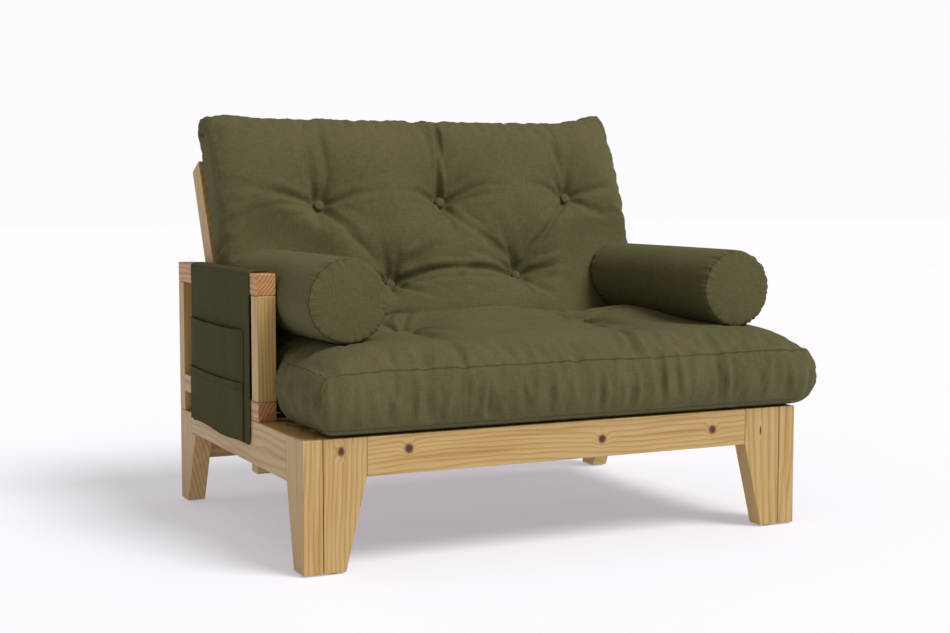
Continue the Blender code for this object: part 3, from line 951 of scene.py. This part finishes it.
        # The top edge dips between its corners.
        p = p - 0.016 * step(p, self.length - 0.22, self.length) * (1 - np.clip(1 - near_x / 0.20, 0, 1) ** 2)
        raised = np.clip(1 - (right - across) / 0.20, 0, 1) ** 1.5
        p = p + 0.033 * raised * step(p, self.length - 0.20, self.length)
        thick = self.thickness(across, p)
        under = 0.016 * (np.clip(1 - np.minimum(near_x, near_p) / 0.045, 0, 1) ** 2)
        write_points(piece, self.place(across, p, under + (thick - under) * h))
        side_x = np.where(x < 1e-6, -1, np.where(x > 1 - 1e-6, 1, 0))
        side_p = np.where(y < 1e-6, -1, np.where(y > 1 - 1e-6, 1, 0))
        drop = (1 - h) * self.border_height
        border = (side_x != 0) | (side_p != 0)
        # The third value is the distance to a seam, where the cloth's material paints a thin line of shade.
        seam = np.where(border, np.minimum(drop, self.border_height - drop), np.minimum(near_x, near_p))
        # On the back the seam's painted shade line is fainter.
        seam = seam + 0.0013 * step(p, 0.6, 0.8)
        store(piece, "weave", np.stack([across + side_x * drop, p + side_p * drop, seam], 1))
        store(piece, "along", np.stack([across, p, h], 1))
        make_active(piece)
        bpy.ops.object.mode_set(mode="EDIT")
        bpy.ops.mesh.select_all(action="SELECT")
        bpy.ops.mesh.normals_make_consistent(inside=False)
        bpy.ops.object.mode_set(mode="OBJECT")
        held = np.where(h < 0.06, 1.0, 0.0)
        for tx, tp, _ in self.tufts:
            held = np.maximum(held, np.where((h > 0.99) & (np.hypot(across - tx, p - tp) < 0.016), 1.0, 0.0))
        held = np.maximum(held, np.where(border & (h > 0.99), 0.5, 0.0))
        Swell().run(piece, held)
        subdivide(piece)
        self.crease(piece)
        self.clear(piece)
        bpy.ops.object.shade_smooth()
        dress(piece, cloth)
        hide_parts("seat_mattress", "back_mattress")
        return piece

    def crease(self, piece: bpy.types.Object) -> None:
        """Press the folds, the seams' gathers and the border's soft wrinkles into the cover."""
        points, normals = read_points(piece), normals_of(piece)
        along, weave = load(piece, "along"), load(piece, "weave")
        x, p, h = along.T
        seam = weave[:, 2]
        top = step(h, 0.90, 0.995)
        border = (1 - top) * step(h, 0.02, 0.2)
        valley, ridge = np.zeros(len(x)), np.zeros(len(x))
        for fold in self.folds:
            reach = np.array(fold.path)
            low, high = reach.min(0) - 0.09, reach.max(0) + 0.09
            here = (x > low[0]) & (x < high[0]) & (p > low[1]) & (p < high[1])
            here &= (h > 0.5) if reach[:, 1].min() < 0.05 else (h > 0.9)
            pressed = fold.press(x[here], p[here])
            valley[here] = np.maximum(valley[here], pressed)
            ridge[here] = np.minimum(ridge[here], pressed)
        deep = np.where(valley > 0.0015, valley, valley + ridge)
        # Gathers stand across the seam, about 25 mm apart.
        flat = np.stack([weave[:, 0], weave[:, 1], np.zeros(len(x))], 1)
        gather = ripple(flat, (34.0, 34.0, 1.0), 7.0)
        long_x = ripple(flat, (24.0, 3.4, 1.0), 3.0)
        long_p = ripple(flat, (3.4, 24.0, 1.0), 5.0)
        ends_nearer = np.minimum(p, self.length - p) < np.minimum(x - self.left(p), self.right(p) - x)
        wrinkle = np.where(ends_nearer, long_x, long_p)
        ridged = 0.45 - np.abs(wrinkle * 1.5) ** 0.8
        narrow = 0.40 - np.abs(ripple(flat, (52.0, 5.0, 1.0), 13.0) * 1.6) ** 0.9
        wrinkled = 0.0085 * (ridged + 0.4 * wrinkle) + 0.0034 * narrow
        lift = border * np.where(p > 0.8, 0.65, 1.0) * wrinkled * (0.5 + seam / 0.07)
        lift += 0.0018 * gather * fall(seam, 0.022)
        puckered = 0.0068 * top * (ridged + 0.5 * wrinkle)
        lift += puckered * fall(seam, 0.060) * np.where(p < 0.12, 1.0, 0.6)
        broad = ripple(flat, (5.5, 5.5, 1.0), 21.0)
        fine = ripple(flat, (17.0, 17.0, 1.0), 31.0)
        lift += top * step(seam, 0.01, 0.09) * (0.0026 * broad + 0.0011 * fine)
        write_points(piece, points + normals * (lift - deep * np.where(top > 0, 1.0, 0.7))[:, None])

    def clear(self, piece: bpy.types.Object) -> None:
        """Keep the pad off the frame, the arm and the bolsters that lie on it."""
        points = read_points(piece)
        along = load(piece, "along")
        h = along[:, 2]
        x, y, z = (points - np.array([self.layout.middle, self.layout.front, 0])).T
        for bolster in self.bolsters:
            dx = x - bolster.middle_x
            dz = z - bolster.middle_z
            r = np.hypot(dx, dz)
            beside = (y > bolster.front - 0.006) & (y < bolster.rear_y(z) + 0.01)
            inside = beside & (h > 0.5) & (along[:, 1] < self.bend - 0.03)
            # The seat's hollow is deeper at its rear, where the pad rises as the back goes down.
            lies_on = bolster.radius + 0.0015 + 0.032 * step(y, 0.36, 0.56)
            push = np.where(inside & (r < lies_on) & (dz < 0.02), lies_on - r, 0)
            x, z = x + push * dx / np.maximum(r, 1e-6), z + push * dz / np.maximum(r, 1e-6)
            r = np.hypot(x - bolster.middle_x, z - bolster.middle_z)
            # The bolster's end makes a shallow dent with sloping sides in the back.
            stop = bolster.rear_y(z) + 0.001 - 0.060 * np.clip((r - bolster.radius) / 0.13, 0, 2) ** 1.6
            soft = 0.5 * (y + stop + np.sqrt((y - stop) ** 2 + 0.016**2))
            behind = (h > 0.5) & (along[:, 1] > self.bend - 0.03) & (r < bolster.radius + 0.26)
            y = np.where(behind, soft, y)
        # Beside the arm the cover may not pass the posts' inner faces.
        x = np.where((y > 0.285) & (z < 0.66), np.maximum(x, -0.5865), x)
        x = np.where((y > 0.285) & (along[:, 1] < 1.375), np.maximum(x, -0.5868), x)
        z = np.where(y < 0.66, np.maximum(z, np.where(y < -0.001, 0.2895, 0.2922)), z)
        # Nor may it pass the plane of the back's slats.
        past_slats = (y - self.crease_y) * math.cos(LEAN) - (z - self.floor) * math.sin(LEAN)
        over = np.where(z > self.floor + 0.002, np.maximum(past_slats + 0.0005, 0), 0)
        y, z = y - over * math.cos(LEAN), z + over * math.sin(LEAN)
        write_points(piece, self.layout.array(np.stack([x, y, z], 1)))

    def button(self, piece: bpy.types.Object, cloth: bpy.types.Material) -> list[bpy.types.Object]:
        """Set a covered button in each tuft.

        Args:
            piece: The finished cover.
            cloth: The woven cloth.

        Returns:
            The buttons.
        """
        points, along = read_points(piece), load(piece, "along")
        made = []
        for index, (tx, tp, _) in enumerate(self.tufts, 1):
            on_top = np.where(along[:, 2] > 0.99, np.hypot(along[:, 0] - tx, along[:, 1] - tp), 9.0)
            lean = float(self.lean(np.array([tp]))[0])
            up = Vector((0, -math.sin(lean), math.cos(lean)))
            near = points[np.argsort(on_top)[:9]].mean(0)
            body = "seat_section" if tp < self.bend else "backrest"
            made.append(Button().build(f"tuft_button_{index}", Vector(near) + up * 0.0050, up, body, cloth))
        return made

    def hinge(self, piece: bpy.types.Object) -> None:
        """Bake the cover's transform into its mesh."""
        middle = self.layout.at(0, 0.600, 0.375)
        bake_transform(piece)


MATTRESS_FOLDS = (
    # Along and around the lower buttons of the back.
    Fold(
        ((-0.155, 0.936), (-0.100, 0.946), (-0.006, 0.950), (0.093, 0.950), (0.200, 0.950)),
        0.014, 0.011, 0.013, 0.011,
    ),
    Fold(((0.214, 0.951), (0.290, 0.958), (0.350, 0.962), (0.430, 0.964)), 0.012, 0.011, 0.003, 0.018),
    Fold(((-0.155, 0.938), (-0.250, 0.945), (-0.350, 0.940), (-0.480, 0.945)), 0.012, 0.012, 0.002, 0.020),
    Fold(((-0.160, 0.950), (-0.172, 0.991), (-0.185, 1.056)), 0.011, 0.012, 0.001, 0.020),
    Fold(((-0.148, 0.950), (-0.140, 0.985), (-0.136, 1.023)), 0.007, 0.010, 0.001, 0.014),
    Fold(((0.210, 0.965), (0.185, 1.017), (0.161, 1.085)), 0.014, 0.013, 0.002, 0.024),
    Fold(((-0.140, 0.925), (-0.105, 0.890), (-0.050, 0.850)), 0.010, 0.010, 0.001, 0.018),
    Fold(((-0.160, 0.920), (-0.165, 0.880), (-0.175, 0.850)), 0.007, 0.009, 0.001, 0.016),
    Fold(((0.225, 0.935), (0.250, 0.900), (0.280, 0.865)), 0.009, 0.009, 0.001, 0.018),
    Fold(((0.212, 0.935), (0.215, 0.900), (0.220, 0.860)), 0.006, 0.009, 0.001, 0.016),
    Fold(((0.200, 0.958), (0.117, 0.985), (0.053, 0.996)), 0.006, 0.009, 0.001, 0.018),
    # Above, beside and below the upper buttons.
    Fold(((0.023, 1.175), (0.018, 1.246), (0.034, 1.330), (0.045, 1.420)), 0.014, 0.009, 0.006, 0.013),
    Fold(((0.014, 1.175), (0.004, 1.237), (-0.004, 1.331), (-0.018, 1.410)), 0.008, 0.010, 0.003, 0.016),
    Fold(((-0.330, 1.170), (-0.344, 1.244), (-0.356, 1.355)), 0.011, 0.010, 0.001, 0.024),
    Fold(((-0.313, 1.170), (-0.293, 1.236), (-0.296, 1.340)), 0.010, 0.010, 0.001, 0.026),
    Fold(((0.410, 1.188), (0.416, 1.245), (0.437, 1.315)), 0.008, 0.010, 0.001, 0.022),
    Fold(((0.400, 1.186), (0.372, 1.220), (0.358, 1.270)), 0.006, 0.010, 0.001, 0.018),
    Fold(((-0.336, 1.158), (-0.420, 1.172), (-0.510, 1.188), (-0.570, 1.195)), 0.009, 0.010, 0.001, 0.020),
    Fold(((-0.336, 1.150), (-0.430, 1.140), (-0.520, 1.122), (-0.575, 1.108)), 0.008, 0.011, 0.002, 0.022),
    Fold(((-0.303, 1.157), (-0.220, 1.168), (-0.130, 1.176)), 0.009, 0.009, 0.001, 0.016),
    Fold(((0.008, 1.164), (-0.055, 1.176), (-0.120, 1.174)), 0.009, 0.009, 0.001, 0.016),
    Fold(((0.038, 1.163), (0.126, 1.188), (0.210, 1.192)), 0.009, 0.009, 0.001, 0.016),
    Fold(((0.394, 1.178), (0.330, 1.193), (0.260, 1.194)), 0.009, 0.009, 0.001, 0.016),
    Fold(((0.038, 1.158), (0.121, 1.165), (0.218, 1.170)), 0.007, 0.010, 0.001, 0.018),
    Fold(((0.426, 1.178), (0.501, 1.190), (0.585, 1.200)), 0.008, 0.010, 0.002, 0.018),
    Fold(((0.424, 1.166), (0.470, 1.130), (0.510, 1.090)), 0.007, 0.011, 0.001, 0.022),
    Fold(((0.030, 1.147), (0.065, 1.080), (0.130, 1.035), (0.200, 0.985)), 0.010, 0.011, 0.002, 0.020),
    Fold(((0.020, 1.146), (0.024, 1.080), (0.025, 1.028)), 0.007, 0.011, 0.001, 0.020),
    Fold(((-0.312, 1.142), (-0.270, 1.070), (-0.235, 1.020)), 0.011, 0.012, 0.002, 0.024),
    Fold(((-0.326, 1.142), (-0.345, 1.080), (-0.351, 1.026)), 0.007, 0.012, 0.001, 0.022),
    Fold(((0.400, 1.160), (0.300, 1.055), (0.225, 0.968)), 0.011, 0.011, 0.005, 0.014),
    # On the seat, running forward over the border and sideways.
    Fold(
        ((0.261, 0.455), (0.250, 0.320), (0.215, 0.170), (0.180, 0.050), (0.170, 0.010)),
        0.014, 0.016, 0.005, 0.014,
    ),
    Fold(((0.270, 0.448), (0.290, 0.330), (0.320, 0.200)), 0.010, 0.014, 0.001, 0.030),
    Fold(((0.276, 0.458), (0.360, 0.470), (0.440, 0.450)), 0.010, 0.012, 0.001, 0.022),
    Fold(
        ((0.246, 0.458), (0.160, 0.440), (0.060, 0.455), (-0.080, 0.440), (-0.220, 0.425)),
        0.012, 0.012, 0.010, 0.013,
    ),
    Fold(((0.264, 0.475), (0.290, 0.540), (0.330, 0.590)), 0.010, 0.012, 0.002, 0.022),
    Fold(((0.255, 0.475), (0.220, 0.540), (0.190, 0.590)), 0.009, 0.012, 0.002, 0.022),
    Fold(((0.250, 0.448), (0.190, 0.370), (0.120, 0.290)), 0.009, 0.013, 0.001, 0.028),
    Fold(((0.255, 0.440), (0.225, 0.330), (0.190, 0.240)), 0.007, 0.012, 0.001, 0.024),
    Fold(((-0.235, 0.408), (-0.225, 0.300), (-0.245, 0.160), (-0.265, 0.020)), 0.012, 0.015, 0.002, 0.026),
    Fold(((-0.222, 0.412), (-0.170, 0.310), (-0.110, 0.200)), 0.010, 0.014, 0.001, 0.030),
    Fold(((-0.250, 0.420), (-0.320, 0.410), (-0.400, 0.420)), 0.010, 0.012, 0.001, 0.022),
    Fold(((-0.246, 0.412), (-0.300, 0.330), (-0.350, 0.220)), 0.009, 0.013, 0.001, 0.026),
    Fold(((-0.228, 0.438), (-0.190, 0.520), (-0.160, 0.590)), 0.010, 0.012, 0.002, 0.022),
    Fold(((-0.242, 0.438), (-0.275, 0.520), (-0.320, 0.590)), 0.009, 0.012, 0.002, 0.022),
)


@dataclass
class Organiser:
    """The cloth hung over the arm, with an upper and a lower pocket on its outer side."""

    layout: Layout
    front: float = 0.352
    rear: float = 0.838
    pocket_front: float = 0.394
    outer: float = -0.6366
    inner: float = -0.5885
    bottom: float = 0.2290
    inner_bottom: float = 0.4200
    arm_top: float = 0.6290
    thickness: float = 0.0020

    def finish(
        self,
        piece: bpy.types.Object,
        cloth: bpy.types.Material,
        nodes: Sequence[str],
        size: tuple[float, float],
        rests: Sequence[str],
    ) -> None:
        """Give a sheet its thickness, its cloth and its body, and hide the CAD nodes that it stands for.

        Args:
            piece: The sheet.
            cloth: The woven cloth.
            nodes: The CAD nodes that it replaces.
            size: Its flat width and length; not used.
            rests: What it hangs from; not used.
        """
        make_active(piece)
        wall = piece.modifiers.new("wall", "SOLIDIFY")
        wall.thickness, wall.offset = self.thickness, 0
        bpy.ops.object.modifier_apply(modifier=wall.name)
        bpy.ops.object.shade_smooth_by_angle(angle=math.radians(50))
        dress(piece, cloth)
        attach(piece, "base")
        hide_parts(*nodes)

    def hung(self, run: np.ndarray) -> tuple[np.ndarray, np.ndarray]:
        """Follow the cloth from its outer hem over the arm to its inner hem.

        Args:
            run: Distances from the outer hem.

        Returns:
            The x and z there.
        """
        top = self.arm_top + 0.0018
        arc = 0.006
        knots = [(self.outer - 0.0012, self.bottom), (self.outer - 0.0006, self.bottom + 0.12)]
        knots += [(self.outer, top - 0.05), (self.outer, top - arc)]
        for turn in np.radians([20, 45, 70, 90]):
            knots.append((self.outer + arc * (1 - math.cos(turn)), top - arc * (1 - math.sin(turn))))
        middle = (self.outer + self.inner) / 2
        knots += [(middle - 0.008, top + 0.0022), (middle + 0.008, top + 0.0022)]
        for turn in np.radians([90, 70, 45, 20, 0]):
            knots.append((self.inner - arc * (1 - math.cos(turn)), top - arc * (1 - math.sin(turn))))
        knots += [(self.inner, top - 0.05), (self.inner, self.inner_bottom)]
        line = np.array(knots)
        far = np.concatenate([[0], np.cumsum(np.hypot(*np.diff(line, axis=0).T))])
        self.run_length = float(far[-1])
        return np.interp(run * far[-1], far, line[:, 0]), np.interp(run * far[-1], far, line[:, 1])

    def build(self, cloth: bpy.types.Material) -> list[bpy.types.Object]:
        """Make the hung cloth and its two pockets.

        Args:
            cloth: The woven cloth.

        Returns:
            The three sheets.
        """
        width = self.rear - self.front
        body = grid_piece("organiser_cloth", 150, 92)

        def sling(x: np.ndarray, y: np.ndarray) -> tuple[np.ndarray, np.ndarray]:
            """Hang the cloth over the rail, with a wavy hem and softened corners."""
            px, pz = self.hung(x)
            py = self.front + y * width
            low = step(-pz, -0.30, -0.229) * (px < -0.62)
            wave = 0.0032 * np.sin(y * 9.0 + 0.6) * low
            near_front, near_rear = y * width / 0.014, (1 - y) * width / 0.014
            corner = 0.010 * (np.clip(1 - near_front, 0, 1) ** 2 + np.clip(1 - near_rear, 0, 1) ** 2) * low
            # The hems pull the long edges in a little.
            pull = 0.0022 * fall(np.minimum(y, 1 - y) * width, 0.02) * (0.5 + 0.5 * np.sin(pz * 38.0))
            py = py + np.where(y < 0.5, 1, -1) * pull
            edge = np.minimum(np.minimum(y, 1 - y) * width, np.minimum(x, 1 - x) * self.run_length)
            # A seam runs 11 mm inside each hem, where the cloth's material paints a thin line of shade.
            seam = np.abs(edge - 0.011)
            flat = np.stack([x * self.run_length, py, seam], 1)
            return self.layout.array(np.stack([px, py, pz + wave + corner], 1)), flat

        roll(body, sling)
        self.finish(body, cloth, ["organiser_sling"], (width, self.run_length), ["arm_rail_top"])
        made = [body]
        width = self.rear - self.pocket_front - 0.0015

        def belly(x: np.ndarray) -> np.ndarray:
            """How far a pocket stands out across its width, as a share."""
            return 1 - (1 - np.clip(np.minimum(x, 1 - x) / 0.20, 0, 1)) ** 2.2

        def upper_out(x: np.ndarray, z: np.ndarray) -> np.ndarray:
            """How far the upper pocket stands out from the cloth."""
            folds = ripple(np.stack([x, z, np.zeros(len(x))], 1), (5.0, 6.0, 1.0), 19.8)
            return 0.0024 + 0.0085 * belly(x) * step(z, 0.243, 0.44) * (0.85 + 0.25 * folds)

        def lower_out(x: np.ndarray, z: np.ndarray) -> np.ndarray:
            """How far the lower pocket stands out over the upper one."""
            return upper_out(x, z) + 0.0023 + 0.0032 * belly(x) * step(z, 0.30, 0.372)

        pockets = (("pocket_upper", 0.243, 0.495, upper_out), ("pocket_lower", 0.234, 0.372, lower_out))
        for name, low, high, outwards in pockets:
            piece = grid_piece(f"{name}_cloth", 92, 56)

            def pocket(x: np.ndarray, y: np.ndarray) -> tuple[np.ndarray, np.ndarray]:
                """Stand one pocket out from the cloth, its top edge sagging a little."""
                sag = 0.0042 * np.sin(math.pi * x) * step(y, 0.6, 1.0)
                py = self.pocket_front + x * width
                pz = low + y * (high - low) - sag
                # The hem 16 mm under the top and the seams 6 mm in from the sides get the cloth's painted
                # seam shade line.
                hem = np.abs((1 - y) * (high - low) - 0.016)
                side = np.abs(np.minimum(x, 1 - x) * width - 0.006)
                flat = np.stack([py, pz, np.minimum(hem, side)], 1)
                return self.layout.array(np.stack([self.outer - outwards(x, pz), py, pz], 1)), flat

            roll(piece, pocket)
            self.finish(piece, cloth, [name], (width, high - low), ["organiser_cloth"])
            made.append(piece)
        return made


@dataclass
class Woodwork:
    """The pine frame, whose planks keep their CAD shape and get their own grain."""

    pine: Pine = Pine()
    heart: Pine = Pine(early="#bd8c5c", middle="#aa7646", late="#855230", roughness=0.46)
    upright: tuple[str, ...] = ("leg_", "arm_post", "stile_", "back_slat")
    back: tuple[str, ...] = ("side_rail", "runner_", "arm_rail", "bearer_")

    def grain(self, name: str) -> Grain:
        """The way that a plank's fibres run."""
        if name.startswith(self.upright):
            return Grain.UP
        return Grain.BACK if name.startswith(self.back) else Grain.ACROSS

    def knots(self, name: str) -> list[tuple[float, ...]]:
        """Where a plank's knots are, in the shared frame, and how narrow each one is."""
        low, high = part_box(name)
        size = high - low
        shares = {
            "front_rail": ((0.100, 0.63, 1.0), (0.594, 0.48, 1.0), (0.904, 0.50, 1.0)),
            "leg_pull_left": ((0.40, 0.905, 1.3),),
            "leg_pull_right": ((0.46, 0.810, 4.5),),
            "rear_rail": ((0.21, 0.45, 1.0), (0.71, 0.60, 1.2)),
            "back_rail_top": ((0.33, 0.5, 1.0), (0.82, 0.4, 1.3)),
        }.get(name, ())
        return [(low.x + a * size.x, low.y, low.z + b * size.z, narrow) for a, b, narrow in shares]

    def dress(self) -> int:
        """Give every plank its wood.

        Returns:
            How many planks there are.
        """
        count = 0
        for name, node in sorted(FRAME["nodes"].items()):
            if not name.startswith(WOOD_NAMES):
                continue
            finish = self.heart if name.startswith("arm_rail") else self.pine
            seed = 0.37 + 0.173 * count
            dress(node, finish.material(f"pine_{name}", self.grain(name), self.knots(name), seed))
            count += 1
        return count


WOOD_NAMES = (
    "leg_front", "leg_rear", "leg_pull", "side_rail", "rear_rail", "cross_rail", "front_rail", "runner_",
    "arm_post", "arm_rail", "bearer_", "rear_tie", "seat_slat", "back_slat", "stile_", "back_rail",
)
FRAME: dict = {}


@dataclass
class Hardware:
    """The bolts, hinges and glides, which keep their CAD shape."""

    steel: Zinc = Zinc()
    nylon: Nylon = Nylon()

    def dress(self) -> int:
        """Give the metal and nylon parts their finishes.

        Returns:
            How many parts there are.
        """
        steel, nylon = self.steel.material("zinc_plated_steel"), self.nylon.material("moulded_nylon")
        count = 0
        for name, node in sorted(FRAME["nodes"].items()):
            if name.startswith(("arm_bolt", "hinge_")):
                dress(node, steel)
            elif name.startswith("glide_"):
                dress(node, nylon)
            else:
                continue
            count += 1
        return count


@dataclass
class Studio:
    """A pale floor that runs out of sight, soft light from the right and a camera at the front left."""

    layout: Layout
    lens: float = 59.45
    ambient: float = 0.50
    ambient_colour: str = "#fff6ea"
    backdrop: str = "#fcfbff"
    key: float = 2.6
    key_angle: float = 30
    key_from: Point = (0.42, -0.62, 0.88)

    def build(self) -> None:
        """Make the floor, the light and the camera."""
        clear_selection()
        bpy.ops.mesh.primitive_plane_add(size=60, location=(0, 0, 0))
        floor = bpy.context.object
        floor.name = "studio_floor"
        made, tree, shader = new_material("pale_floor")
        place = add_node(tree, "TexCoord").outputs["Object"]
        cloud = add_node(tree, "TexNoise", Vector=place, Scale=0.6, Detail=1.0).outputs["Fac"]
        tree.links.new(ramp(tree, cloud, [(0.3, "#cdccd2"), (0.7, "#cfced4")]), shader.inputs["Base Color"])
        shader.inputs["Roughness"].default_value = 0.9
        shader.inputs["Specular IOR Level"].default_value = 0.0
        # A lit table: part of the floor's white comes through it, which keeps the shadows pale.
        shader.inputs["Emission Color"].default_value = linear("#eeeeff")
        shader.inputs["Emission Strength"].default_value = 0.36
        dress(floor, made)
        world = bpy.context.scene.world or bpy.data.worlds.new("studio")
        bpy.context.scene.world = world
        world.use_nodes = True
        background = world.node_tree.nodes["Background"]
        # The backdrop is white, and less light comes off it than it shows.
        seen = add_node(world.node_tree, "LightPath").outputs["Is Camera Ray"]
        warm = tuple(self.ambient * part for part in linear(self.ambient_colour)[:3]) + (1.0,)
        white = linear(self.backdrop)
        shown = add_node(world.node_tree, "Mix", {"data_type": "RGBA"}, i0=seen, i6=warm, i7=white)
        world.node_tree.links.new(shown.outputs[2], background.inputs["Color"])
        bpy.context.scene.view_settings.view_transform = "Standard"
        key = bpy.data.objects.new("key_light", bpy.data.lights.new("key_light", "SUN"))
        key.data.energy, key.data.angle = self.key, math.radians(self.key_angle)
        key.rotation_euler = Vector(self.key_from).to_track_quat("Z", "Y").to_euler()
        bpy.context.scene.collection.objects.link(key)
        camera = bpy.data.objects.new("camera", bpy.data.cameras.new("camera"))
        bpy.context.scene.collection.objects.link(camera)
        camera.location = self.layout.at(-1.7222, -3.0943, 0.8211)
        camera.rotation_euler = (math.pi / 2 - 0.0813, 0, -0.4485)
        camera.data.lens = self.lens
        camera.data.sensor_width = 36
        bpy.context.scene.camera = camera


def main() -> None:
    """Build the sofa bed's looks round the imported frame."""
    logging.basicConfig(level=logging.INFO, format="%(name)s: %(message)s")
    FRAME.update(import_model())
    layout = find_layout()
    Studio(layout).build()
    LOG.info("%d planks", Woodwork().dress())
    LOG.info("%d fittings", Hardware().dress())
    cloth = Canvas().material("olive_canvas")
    # The organiser's cloth is the same canvas painted darker, as painted shade for the arm's shaded outer
    # side, with less sheen.
    deep = Canvas(light="#434119", middle="#3b3917", dark="#323013", sheen=0.02)
    for sheet in Organiser(layout).build(deep.material("olive_canvas_organiser_painted_shade")):
        LOG.info("%s hangs on the arm", sheet.name)
    bolsters = (Bolster("left", layout, -0.4895), Bolster("right", layout, 0.534))
    for bolster in bolsters:
        LOG.info("%s is on the seat", bolster.build(cloth).name)
    mattress = Mattress(layout, bolsters=bolsters)
    cover = mattress.build(cloth)
    LOG.info("%d buttons", len(mattress.button(cover, cloth)))
    mattress.hinge(cover)


if __name__ == "__main__":
    main()
